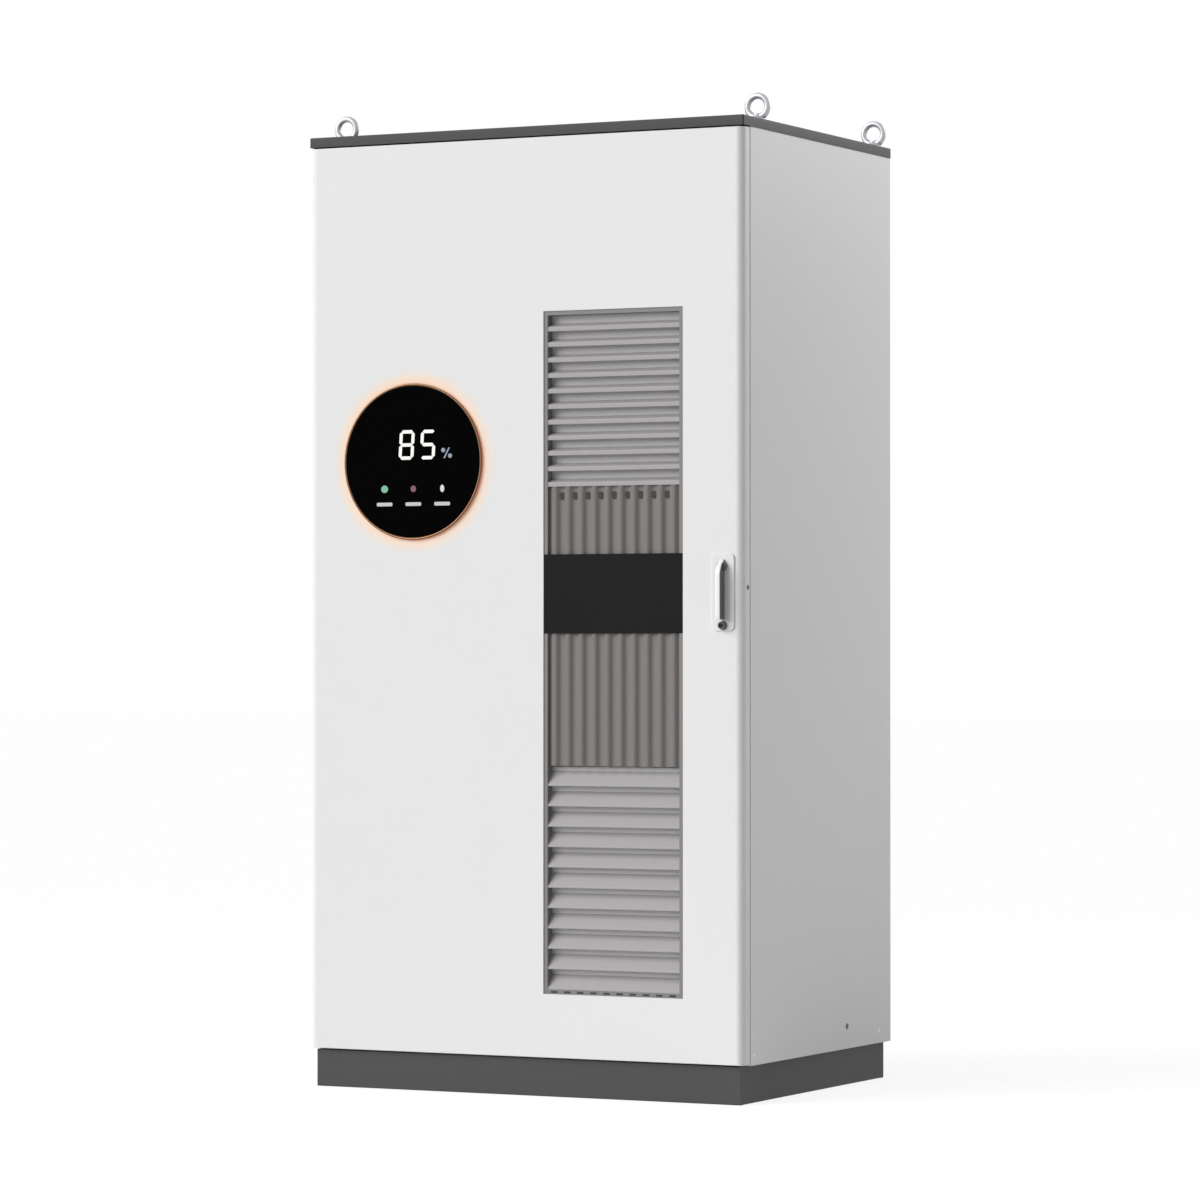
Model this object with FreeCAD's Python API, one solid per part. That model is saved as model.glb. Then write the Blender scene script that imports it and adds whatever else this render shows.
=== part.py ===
import FreeCAD, Part
import math
import os

# Outdoor battery cabinet. Millimetres, +X to the right, -Y towards the door, +Z up.
# The origin is at the middle of the plinth's foot, on the ground.

# Overall sizes
width = 1110.0
depth = 820.0
height = 2200.0
plinth_height = 86.0
plinth_inset = 13.0
roof_thickness = 23.0
roof_overhang = 2.0

# Sheet and section thicknesses
panel_sheet = 1.5
door_sheet = 2.0
roof_sheet = 2.0
cover_sheet = 2.0
frame_wall = 2.5
case_sheet = 1.5
touch = 0.3
slip = 0.05
cut_room = 1.0

# Frame
post_size = 45.0
sill_height = 60.0
head_height = 45.0
insulation = 28.0
floor_sheet = 2.0
floor_lap = 20.0

# Plinth
corner_size = 120.0
corner_wall = 3.0
corner_plate = 5.0
floor_bolt_inset = 62.0
floor_hole = 14.0
cover_lip = 15.0
bolt_m12 = 12.0
bolt_hole = 13.0
m12_head = 7.5
m12_nut = 10.0
m12_across = 18.0
m12_spare = 3.0

# Cable entry in the floor
gland_opening = 120.0
gland_from_rack = 50.0
gland_first = 50.0
gland_pitch = 100.0
gland_count = 4
gland_lap = 15.0
gland_sheet = 3.0
gland_thread = 40.0
gland_room = 0.5
gland_across = 48.0
gland_bore = 28.0
gland_collar = 12.0

# Lifting eyes, size M16
eye_x_inset = 24.0
eye_front = 129.0
eye_rear = 43.0
eye_ring = 63.0
eye_hole = 35.0
eye_height = 62.0
eye_collar = 35.0
eye_collar_height = 8.0
eye_thread = 16.0
eye_spacer = 30.0
m16_nut = 13.0
m16_across = 24.0
m16_spare = 2.0

# Door
door_thickness = 36.0
door_seam = 4.0
door_end_gap = 3.0
door_edge_radius = 18.0
door_lip = 16.0
pan_sheet = 1.5
pan_gap = 0.5
gasket_inset = 25.0
gasket_end_inset = 17.0
gasket_width = 10.0
stiffener_width = 25.0
stiffener_sheet = 1.5
stiffener_from_edge = 67.5
stiffener_from_handle = 55.0

# Hinges
hinge_inset = 6.0
hinge_behind_door = 6.0
hinge_knuckle = 12.0
hinge_pin = 8.0
hinge_pin_tail = 2.0
hinge_pin_head = 2.5
hinge_height = 90.0
hinge_plate = 3.0
hinge_plate_reach = 12.0
hinge_end = 241.5
hinge_pocket_x = 25.0
hinge_pocket_y = 21.0
hinge_pocket_margin = 6.0

# Handle
handle_from_edge = 47.5
handle_z = 1196.0
handle_plate_width = 55.0
handle_plate_below = 143.0
handle_plate_above = 30.0
handle_plate_thickness = 4.0
handle_plate_radius = 12.0
lever_width = 11.0
lever_depth = 28.0
lever_below = 118.0
lever_above = 16.0
lever_foot_slope = 5.0
lever_brow_drop = 14.0
lever_nose_depth = 11.0
lever_nose_rise = 8.0
lever_edge_radius = 2.0
lever_gap = 1.0
lever_hub = 24.0
lever_hub_length = 9.0
handle_turn = 90.0

# Lock
spindle_journal = 16.0
spindle_square = 8.0
spindle_shoulder = 4.0
spindle_end_gap = 1.0
key_below = 131.0
key_plug = 10.0
key_boss = 18.0
key_boss_height = 10.0
key_slot_width = 1.2
key_slot_tall = 6.4
key_slot_depth = 4.0
key_tail = 5.0
key_cam_sheet = 3.0
key_cam_reach = 18.0
gear_module = 1.5
gear_teeth = 18
gear_width = 10.0
gear_backlash = 0.3
pressure_angle = 20.0
rod_width = 8.0
rod_thickness = 8.0
rod_middle = 18.0
rod_end_gap = 1.0
rod_spare_teeth = 4
lock_case_wall = 2.0
lock_case_half = 29.0
lock_case_tall = 44.0
keeper_sheet = 4.0
keeper_foot_sheet = 3.0
keeper_foot_tall = 5.0
keeper_inset = 8.0
keeper_reach = 10.0
keeper_length = 26.0
keeper_hole_room = 1.5
keeper_slot_room = 3.0
guides_per_rod = 3
guide_from_end = 180.0
guide_from_spindle = 255.0
guide_body = 5.0
guide_tall = 12.0

# Round display
dial_from_edge = 275.0
dial_z = 1443.0
dial_diameter = 360.0
dial_rim = 5.0
dial_rim_proud = 0.8
dial_standoff = 3.0
dial_guide_inset = 3.0
dial_guide_lap = 20.0
dial_glass = 3.0
dial_can_inset = 36.0
dial_can_wall = 2.0
dial_can_depth = 26.0
board_gap = 3.0
board_sheet = 1.6
board_post = 8.0
board_post_inset = 20.0

# Grille in the door
grille_left = 56.0
grille_from_edge = 148.0
grille_bottom = 233.0
grille_from_top = 396.0
grille_border = 10.0
grille_recess = 2.0
grille_fit = 0.5
grille_flange = 12.0
grille_flange_sheet = 2.0
grille_depth = 28.0
top_gap = 1.0
upper_louvre_zone = 387.0
upper_rib_zone = 153.0
band_zone = 179.0
lower_rib_zone = 299.0
upper_louvre_pitch = 35.2
upper_blade_share = 0.52
lower_louvre_pitch = 46.0
lower_blade_share = 0.74
blade_depth = 20.0
blade_sheet = 1.5
upper_blade_lip = 9.5
lower_blade_lip = 4.0
blade_recess = 1.0
rib_pitch = 33.1
rib_depth = 6.0
rib_recess = 2.0
rib_sheet = 2.0
band_sheet = 4.0

# Door cooler
cooler_margin = 10.0
cooler_depth = 224.0
cooler_split = 126.0
cooler_flange = 15.0
vent_count = 14
vent_pitch = 24.0
vent_tall = 10.0
vent_start = 60.0
vent_side = 40.0
coil_depth = 40.0
coil_plate = 2.0
coil_side = 22.0
coil_tube = 10.0
coil_bend_radius = 10.0
coil_bend_pitch = 50.0
coil_end = 20.0
coil_gap = 4.0
inner_coil_gap = 20.0
coil_below_fan = 372.0
fan_side_room = 35.5
inner_fan_side_room = 60.5
fan_from_top = 218.0
inner_fan_from_top = 308.0
fan_hub = 90.0
fan_blades = 7
fan_blade_sheet = 2.0
fan_blade_share = 0.24
fan_blade_pitch = 30.0
fan_blade_root = 4.0
fan_depth = 24.0
fan_shaft = 8.0
fan_shaft_length = 40.0
fan_tip_gap = 4.0
fan_frame_depth = 60.0
fan_frame_sheet = 2.0
fan_frame_margin = 8.0
fan_setback = 20.0
fan_arm = 10.0
fan_motor = 80.0
fan_motor_length = 22.0
fan_motor_bore = 18.0
compressor_diameter = 120.0
compressor_height = 240.0
compressor_dome = 24.0
compressor_pipe = 12.0
compressor_pipe_length = 30.0
compressor_above = 51.0
compressor_shift = 60.0
compressor_shelf_side = 20.0
compressor_shelf_sheet = 3.0
compressor_shelf_drop = 60.0
compressor_wall_gap = 4.0

# Battery rack
rack_gap = 8.5
rack_from_cooler = 47.0
rack_headroom = 32.0
rack_wall = 2.0
upright_width = 20.0
upright_depth = 40.0
first_runner = 165.0
runner_width = 30.0
runner_sheet = 2.0

# Battery packs
pack_pitch = 262.0
pack_height = 225.0
pack_side_gap = 3.0
pack_wall = 2.0
cell_gap = 8.0
cell_front = 42.0
cell_rear = 7.0
cell_headroom = 20.0
grip_reach = 22.0
grip_wire = 10.0
grip_inset = 45.0
grip_end = 40.0
plug_width = 36.0
plug_tall = 40.0
plug_reach = 20.0
plug_offset = 60.0
plug_rise = 150.0
bar_width = 20.0
bar_sheet = 4.0
bar_crossing = 300.0
bar_end_lap = 10.0

# Converter, distribution box and control box
converter_gap = 15.0
converter_height = 300.0
control_gap = 40.0
control_height = 240.0
control_headroom = 30.0
fin_pitch = 22.0
fin_sheet = 3.0
fin_reach = 18.0
fin_side = 40.0
fin_end = 60.0

# Isolator knob and main breaker
knob_inset = 115.0
knob_skirt = 60.0
knob_skirt_tall = 6.0
knob_bar_width = 16.0
knob_bar_length = 52.0
knob_bar_tall = 18.0
knob_gap = 0.5
knob_shaft = 10.0
knob_bush = 24.0
knob_bush_length = 14.0
breaker_inset = 285.0
breaker_width = 90.0
breaker_height = 140.0
breaker_depth = 30.0
toggle_well = 26.0
toggle_well_width = 24.0
toggle_mouth = 52.0
toggle_depth = 14.0
toggle_hub = 18.0
toggle_pin = 6.0
toggle_side_gap = 0.5
toggle_width = 16.0
toggle_sheet = 8.0
toggle_reach = 16.0
toggle_swing = 40.0

# Fire canister
canister_inset = 225.0
canister_setback = 90.0
canister_diameter = 110.0
canister_height = 220.0
canister_shoulder = 14.0
canister_neck = 26.0
canister_neck_height = 22.0

# Door switch
switch_inset = 255.0
switch_width = 30.0
switch_depth = 40.0
switch_tall = 35.0
switch_setback = 12.0
switch_drop = 20.0
plunger_diameter = 8.0
plunger_seat = 14.0
plunger_travel = 4.0
plunger_room = 2.0

# Places worked out from the sizes above
half = width / 2
front = -depth / 2
rear = depth / 2
door_back = front + door_thickness
frame_front = door_back + door_seam
body_top = height - roof_thickness
door_bottom = plinth_height + door_end_gap
door_top = body_top - door_end_gap
frame_half = half - panel_sheet
frame_rear = rear - panel_sheet
opening_half = frame_half - post_size
sill_top = plinth_height + sill_height
head_bottom = body_top - head_height
floor_top = sill_top + floor_sheet
pan_back = door_back - door_sheet
pan_front = pan_back - pan_sheet
skin_back = front + door_sheet
plinth_half = half - plinth_inset
plinth_front = front + plinth_inset
plinth_rear = rear - plinth_inset
floor_bolt_x = plinth_half - floor_bolt_inset

hinge_x = -half + hinge_inset
hinge_y = door_back - hinge_behind_door
hinge_levels = (door_bottom + hinge_end, (door_bottom + door_top) / 2, door_top - hinge_end)

handle_x = half - handle_from_edge
key_z = handle_z - key_below
plate_face = front - handle_plate_thickness
rod_y = front + rod_middle
pitch_radius = gear_module * gear_teeth / 2
tooth_above = 0.9 * gear_module
tooth_below = 1.15 * gear_module
rod_offset = pitch_radius + tooth_below + rod_width / 2
rod_travel = math.radians(handle_turn) * pitch_radius
rack_pitch = math.pi * gear_module

grille_right = half - grille_from_edge
grille_top = door_top - grille_from_top
opening_left = grille_left + grille_border
opening_right = grille_right - grille_border
opening_top = grille_top - grille_border
opening_bottom = grille_bottom + grille_border
upper_louvre_top = opening_top - top_gap
upper_louvre_bottom = upper_louvre_top - upper_louvre_zone
band_top = upper_louvre_bottom - upper_rib_zone
band_bottom = band_top - band_zone
lower_louvre_top = band_bottom - lower_rib_zone

dial_x = -half + dial_from_edge
dial_can = dial_diameter - 2 * dial_can_inset
middle_stiffener = (dial_x + dial_can / 2 + grille_left) / 2
stiffener_centres = (-half + stiffener_from_edge, middle_stiffener, handle_x - stiffener_from_handle)

cooler_left = grille_left - cooler_margin
cooler_right = grille_right + cooler_margin
cooler_bottom = grille_bottom - cooler_margin
cooler_top = grille_top + cooler_margin
cooler_back = pan_back + cooler_depth
cooler_wall = pan_back + cooler_split
cooler_middle = (cooler_left + cooler_right) / 2
fan_big = cooler_right - cooler_left - 2 * fan_side_room
fan_small = cooler_right - cooler_left - 2 * inner_fan_side_room
fan_level = grille_top - fan_from_top
inner_fan_level = cooler_top - inner_fan_from_top

rack_half = opening_half - rack_gap
rack_front = cooler_back + rack_from_cooler
rack_rear = frame_rear - post_size - rack_gap
rack_top = head_bottom - rack_headroom
control_level = rack_top - control_headroom - control_height
pack_space = control_level - control_gap - converter_height - converter_gap - first_runner
pack_rows = int(pack_space // pack_pitch)
converter_level = first_runner + pack_rows * pack_pitch + converter_gap
gland_rear = rack_front - gland_from_rack
gland_front = gland_rear - gland_opening

left_bay = (-rack_half + upright_width, -upright_width / 2)
right_bay = (upright_width / 2, rack_half - upright_width)
box_gap = runner_sheet + pack_side_gap
left_span = (left_bay[0] + box_gap, left_bay[1] - box_gap)
right_span = (right_bay[0] + box_gap, right_bay[1] - box_gap)
knob_x = right_span[0] + knob_inset
breaker_x = right_span[0] + breaker_inset
knob_z = control_level + control_height / 2

axis_x = FreeCAD.Vector(1, 0, 0)
axis_y = FreeCAD.Vector(0, 1, 0)
axis_z = FreeCAD.Vector(0, 0, 1)


def block(x, y, z):
    """Box between two values on each axis."""
    corner = FreeCAD.Vector(x[0], y[0], z[0])
    return Part.makeBox(x[1] - x[0], y[1] - y[0], z[1] - z[0], corner)


def disc(diameter, centre, axis, length):
    """Cylinder that starts at centre and runs along axis."""
    return Part.makeCylinder(diameter / 2, length, FreeCAD.Vector(*centre), axis)


def ring(outer, inner, centre, axis, length):
    """Tube with a round section."""
    return disc(outer, centre, axis, length).cut(disc(inner, centre, axis, length))


def hollow(x, y, z, wall, along):
    """Square tube, open at both ends of the named axis."""
    spans = {"x": x, "y": y, "z": z}
    inner = {name: (span[0] + wall, span[1] - wall) for name, span in spans.items()}
    inner[along] = spans[along]
    return block(x, y, z).cut(block(inner["x"], inner["y"], inner["z"]))


def closed_case(x, y, z, wall):
    """Sheet box, closed on all sides."""
    inner = [(span[0] + wall, span[1] - wall) for span in (x, y, z)]
    return block(x, y, z).cut(block(*inner))


def prism(points, start, travel):
    """Straight body from a flat outline given as 3-D points, moved by start."""
    loop = [FreeCAD.Vector(*point) for point in points]
    face = Part.Face(Part.makePolygon(loop + loop[:1]))
    body = face.extrude(FreeCAD.Vector(*travel))
    body.translate(FreeCAD.Vector(*start))
    return body


def hexagon(across, centre, length):
    """Upright hexagonal bar, for bolt heads and nuts."""
    radius = across / math.sqrt(3)
    corners = [(centre[0] + radius * math.cos(math.radians(60 * i)),
                centre[1] + radius * math.sin(math.radians(60 * i)), centre[2]) for i in range(6)]
    return prism(corners, (0, 0, 0), (0, 0, length))


def join(shapes):
    """One solid from solids that touch or overlap."""
    whole = shapes[0]
    for shape in shapes[1:]:
        whole = whole.fuse(shape)
    return whole.removeSplitter()


def mirrored(shape):
    """Copy of a shape on the other side of the middle plane."""
    return shape.mirror(FreeCAD.Vector(0, 0, 0), axis_x)


def round_edges(shape, radius, test):
    """Round the edges whose middle passes the test."""
    edges = [edge for edge in shape.Edges if test(edge)]
    return shape.makeFillet(radius, edges)


def upright_edge(edge):
    """True for a straight edge along Z."""
    low = edge.BoundBox
    return low.XLength < 0.001 and low.YLength < 0.001


def crossing_edge(edge):
    """True for a straight edge along Y."""
    low = edge.BoundBox
    return low.XLength < 0.001 and low.ZLength < 0.001


def flat_along_x(edge):
    """True for an edge that lies in a plane across X."""
    return edge.BoundBox.XLength < 0.001


def save(node, solids):
    """Write the solids of one node."""
    Part.makeCompound(solids).exportStep("parts/" + node + ".step")


# Plinth

def plinth_bolt_places():
    """Middle of the overlap between each corner's top plate and the frame above it."""
    ahead = (frame_front + frame_front + post_size) / 2
    behind = (frame_rear - post_size + plinth_rear - cover_sheet) / 2
    return [(side * floor_bolt_x, y) for side in (-1, 1) for y in (ahead, behind)]


def plinth_corners():
    """Four corner blocks with a foot plate and a head plate."""
    blocks = []
    outer_x = plinth_half - cover_sheet
    for side in (-1, 1):
        for end, face in ((-1, plinth_front + cover_sheet), (1, plinth_rear - cover_sheet)):
            x = sorted((side * outer_x, side * (outer_x - corner_size)))
            y = sorted((face, face - end * corner_size))
            foot = block(x, y, (0, corner_plate))
            head = block(x, y, (plinth_height - corner_plate, plinth_height))
            wall_x = sorted((side * outer_x, side * (outer_x - corner_wall)))
            wall_y = sorted((face, face - end * corner_wall))
            walls = [block(wall_x, y, (0, plinth_height)), block(x, wall_y, (0, plinth_height))]
            corner = join([foot, head] + walls)
            bolt_y = face + end * (cover_sheet - floor_bolt_inset)
            hole = disc(floor_hole, (side * floor_bolt_x, bolt_y, 0), axis_z, corner_plate)
            blocks.append(corner.cut(hole))
    for x, y in plinth_bolt_places():
        drill = disc(bolt_hole, (x, y, plinth_height - corner_plate), axis_z, corner_plate)
        blocks = [corner.cut(drill) for corner in blocks]
    save("plinth_corners", blocks)


def plinth_covers():
    """Folded cover sheets between and over the corner blocks."""
    gap = plinth_half - cover_sheet - corner_size - touch
    lips = ((0, cover_sheet), (plinth_height - cover_sheet, plinth_height))
    covers = []
    for face, inward in ((plinth_front, 1), (plinth_rear, -1)):
        sheet_y = sorted((face, face + inward * cover_sheet))
        sheet = block((-plinth_half, plinth_half), sheet_y, (0, plinth_height))
        lip_y = sorted((face, face + inward * cover_lip))
        covers.append(join([sheet] + [block((-gap, gap), lip_y, z) for z in lips]))
    ahead = plinth_front + cover_sheet
    behind = plinth_rear - cover_sheet
    sheet = block((plinth_half - cover_sheet, plinth_half), (ahead, behind), (0, plinth_height))
    lip_x = (plinth_half - cover_lip, plinth_half)
    lip_y = (ahead + corner_size + touch, behind - corner_size - touch)
    side = join([sheet] + [block(lip_x, lip_y, z) for z in lips])
    save("plinth_covers", covers + [side, mirrored(side)])


def plinth_bolts():
    """M12 bolts and nuts that hold the frame on the plinth."""
    solids = []
    seat = plinth_height - corner_plate
    nut_seat = plinth_height + frame_wall
    length = nut_seat + m12_nut + m12_spare - seat
    for x, y in plinth_bolt_places():
        shank = disc(bolt_m12, (x, y, seat), axis_z, length)
        head = hexagon(m12_across, (x, y, seat - m12_head), m12_head)
        solids.append(join([shank, head]))
        nut = hexagon(m12_across, (x, y, nut_seat), m12_nut)
        solids.append(nut.cut(disc(bolt_m12 + 2 * slip, (x, y, nut_seat), axis_z, m12_nut)))
    return solids


# Frame and panels

def frame_ring(low, high):
    """Two capped side members over the whole depth, with the front and rear members between them."""
    side = closed_case((opening_half, frame_half), (frame_front, frame_rear), (low, high), frame_wall)
    cross = []
    for y in ((frame_front, frame_front + post_size), (frame_rear - post_size, frame_rear)):
        cross.append(hollow((-opening_half, opening_half), y, (low, high), frame_wall, "x"))
    return [side, mirrored(side)] + cross


def base_frame():
    """Welded sill frame, drilled for the plinth bolts."""
    members = frame_ring(plinth_height, sill_top)
    for x, y in plinth_bolt_places():
        drill = disc(bolt_hole, (x, y, plinth_height), axis_z, frame_wall)
        members = [member.cut(drill) for member in members]
    save("base_frame", members)


def eye_places():
    """Middle of each lifting eye on the roof."""
    x = half - eye_x_inset
    return [(side * x, y) for side in (-1, 1) for y in (front + eye_front, rear - eye_rear)]


def top_frame():
    """Head frame, drilled for the lifting eyes."""
    members = frame_ring(head_bottom, body_top)
    for x, y in eye_places():
        drill = disc(eye_thread + cut_room, (x, y, body_top - frame_wall), axis_z, frame_wall)
        members = [member.cut(drill) for member in members]
    save("top_frame", members)


def corner_posts():
    """Four square posts between the sill and the head frame."""
    posts = []
    for y in ((frame_front, frame_front + post_size), (frame_rear - post_size, frame_rear)):
        post = hollow((opening_half, frame_half), y, (sill_top, head_bottom), frame_wall, "z")
        posts += [post, mirrored(post)]
    save("corner_posts", posts)


def side_and_rear_panels():
    """Outer sheets with the insulation boards behind them."""
    side = block((frame_half, half), (frame_front, frame_rear), (plinth_height, body_top))
    save("side_panels", [side, mirrored(side)])
    save("rear_panel", [block((-half, half), (frame_rear, rear), (plinth_height, body_top))])
    board_y = (frame_front + post_size, frame_rear - post_size)
    board = block((frame_half - insulation, frame_half), board_y, (sill_top, head_bottom))
    back = block((-opening_half, opening_half), (frame_rear - insulation, frame_rear), (sill_top, head_bottom))
    save("insulation_boards", [board, mirrored(board), back])


def gland_places():
    """Middles of the cable glands, in a row on the left half of the gland plate."""
    y = (gland_front + gland_rear) / 2
    return [(-gland_first - i * gland_pitch, y) for i in range(gland_count)]


def floor_and_glands():
    """Two floor sheets with a gland plate over the gap between them, and its cable glands."""
    x = (-opening_half + touch, opening_half - touch)
    ahead = frame_front + post_size - floor_lap
    behind = frame_rear - insulation - touch
    sheets = [block(x, y, (sill_top, floor_top)) for y in ((ahead, gland_front), (gland_rear, behind))]
    plate_top = floor_top + gland_sheet
    plate = block(x, (gland_front - gland_lap, gland_rear + gland_lap), (floor_top, plate_top))
    glands = []
    for x, y in gland_places():
        plate = plate.cut(disc(gland_thread + gland_room, (x, y, floor_top), axis_z, gland_sheet))
        foot = (x, y, floor_top - gland_collar)
        length = 2 * gland_collar + gland_sheet
        thread = disc(gland_thread, foot, axis_z, length)
        nuts = [hexagon(gland_across, place, gland_collar) for place in (foot, (x, y, plate_top))]
        glands.append(join([thread] + nuts).cut(disc(gland_bore, foot, axis_z, length)))
    save("floor_plates", sheets + [plate])
    save("cable_glands", glands)


# Roof

def roof_cover():
    """Folded roof tray with a lip over the door."""
    x = (-half - roof_overhang, half + roof_overhang)
    y = (front, rear + roof_overhang)
    tray = block(x, y, (body_top, height))
    inner_x = (x[0] + roof_sheet, x[1] - roof_sheet)
    inner_y = (y[0] + roof_sheet, y[1] - roof_sheet)
    tray = tray.cut(block(inner_x, inner_y, (body_top, height - roof_sheet)))
    lip_y = (front + roof_sheet, frame_front + cover_lip)
    lip = block(inner_x, lip_y, (body_top, body_top + roof_sheet))
    tray = join([tray, lip])
    for x_eye, y_eye in eye_places():
        tray = tray.cut(disc(eye_thread + cut_room, (x_eye, y_eye, body_top), axis_z, roof_thickness))
    save("roof_cover", [tray])


def lifting_eyes():
    """Ring eyes with collar and shank; returns the spacers under the roof and the nuts."""
    eyes = []
    fixings = []
    wire = (eye_ring - eye_hole) / 2
    nut_seat = body_top - frame_wall - m16_nut
    shank_low = nut_seat - m16_spare
    for x, y in eye_places():
        middle = FreeCAD.Vector(x, y, height + eye_height - eye_ring / 2)
        loop = Part.makeTorus((eye_ring - wire) / 2, wire / 2, middle, axis_y)
        collar = disc(eye_collar, (x, y, height), axis_z, eye_collar_height)
        shank = disc(eye_thread, (x, y, shank_low), axis_z, height - shank_low)
        eyes.append(join([collar, shank, loop]))
        spacer_tall = roof_thickness - roof_sheet
        fixings.append(ring(eye_spacer, eye_thread + cut_room, (x, y, body_top), axis_z, spacer_tall))
        nut = hexagon(m16_across, (x, y, nut_seat), m16_nut)
        fixings.append(nut.cut(disc(eye_thread + 2 * slip, (x, y, nut_seat), axis_z, m16_nut)))
    save("lifting_eyes", eyes)
    return fixings


# Door

def hinge_pockets():
    """Spaces in the door's hinge edge, one for each hinge."""
    x = (-half, -half + hinge_pocket_x)
    y = (door_back - hinge_pocket_y, door_back)
    tall = hinge_height / 2 + hinge_pocket_margin
    return [block(x, y, (level - tall, level + tall)) for level in hinge_levels]


def keeper_places():
    """Middle of each keeper: the upper one over the left rod, the lower one under the right rod."""
    upper = (handle_x - rod_offset, door_top - keeper_inset)
    lower = (handle_x + rod_offset, door_bottom + keeper_inset)
    return [upper, lower]


def keeper_slots():
    """Slots in the back of the door that pass over the keepers."""
    slots = []
    for x, z in keeper_places():
        span = (x - keeper_length / 2 - keeper_slot_room, x + keeper_length / 2 + keeper_slot_room)
        tall = keeper_sheet / 2 + keeper_slot_room
        slots.append(block(span, (pan_front, door_back), (z - tall, z + tall)))
    return slots


def rounded_front(x, y, z, radius):
    """Box whose two upright front edges are rounded."""
    body = block(x, y, z)
    return round_edges(body, radius, lambda edge: upright_edge(edge) and edge.BoundBox.YMax < y[0] + 0.001)


def door_space():
    """Hollow inside the door's folded sheet."""
    x = (-half + door_sheet, half - door_sheet)
    z = (door_bottom + door_sheet, door_top - door_sheet)
    return rounded_front(x, (skin_back, pan_back), z, door_edge_radius - door_sheet)


def door_leaf():
    """Folded door tray with rounded front edges, and its cut-outs."""
    x = (-half, half)
    z = (door_bottom, door_top)
    outer = rounded_front(x, (front, door_back), z, door_edge_radius)
    mouth_x = (x[0] + door_lip, x[1] - door_lip)
    mouth_z = (z[0] + door_lip, z[1] - door_lip)
    leaf = outer.cut(door_space()).cut(block(mouth_x, (pan_back, door_back), mouth_z))
    leaf = leaf.cut(block((grille_left, grille_right), (front, skin_back), (grille_bottom, grille_top)))
    holes = ((dial_can, dial_x, dial_z), (spindle_journal, handle_x, handle_z), (key_plug, handle_x, key_z))
    for diameter, x_hole, z_hole in holes:
        leaf = leaf.cut(disc(diameter + 2 * cut_room, (x_hole, front, z_hole), axis_y, door_sheet))
    for tool in hinge_pockets() + keeper_slots():
        leaf = leaf.cut(tool)
    save("door_leaf", [leaf])


def pocket_walls():
    """Folded boxes that close the hinge pockets inside the door."""
    boxes = []
    inside = door_space()
    x = (-half + door_sheet, -half + hinge_pocket_x + door_sheet)
    y = (door_back - hinge_pocket_y - door_sheet, pan_front)
    tall = hinge_height / 2 + hinge_pocket_margin + door_sheet
    for level, pocket in zip(hinge_levels, hinge_pockets()):
        outer = block(x, y, (level - tall, level + tall))
        boxes.append(outer.cut(pocket).common(inside))
    return boxes


def door_pan():
    """Inner sheet of the door, with the cooler's opening."""
    inset = door_sheet + pan_gap
    x = (-half + inset, half - inset)
    z = (door_bottom + inset, door_top - inset)
    pan = block(x, (pan_front, pan_back), z)
    pan = pan.cut(block((cooler_left, cooler_right), (pan_front, pan_back), (cooler_bottom, cooler_top)))
    for tool in hinge_pockets() + keeper_slots():
        pan = pan.cut(tool)
    save("door_inner_panel", [pan])


def door_stiffeners():
    """Upright channels between the door's skin and its inner panel."""
    sheet = stiffener_sheet
    z = (door_bottom + door_lip, door_top - door_lip)
    channels = []
    for centre in stiffener_centres:
        x = (centre - stiffener_width / 2, centre + stiffener_width / 2)
        bar = block(x, (skin_back, pan_front), z)
        groove = block((x[0] + sheet, x[1] - sheet), (skin_back, pan_front - sheet), z)
        channels.append(bar.cut(groove))
    return channels


def door_gasket():
    """Foam seal all round the back of the door."""
    outer_x = half - gasket_inset
    outer_z = (door_bottom + gasket_end_inset, door_top - gasket_end_inset)
    y = (pan_back, frame_front - touch)
    outer = block((-outer_x, outer_x), y, outer_z)
    inner_z = (outer_z[0] + gasket_width, outer_z[1] - gasket_width)
    save("door_gasket", [outer.cut(block((-outer_x + gasket_width, outer_x - gasket_width), y, inner_z))])


# Hinges

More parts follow.
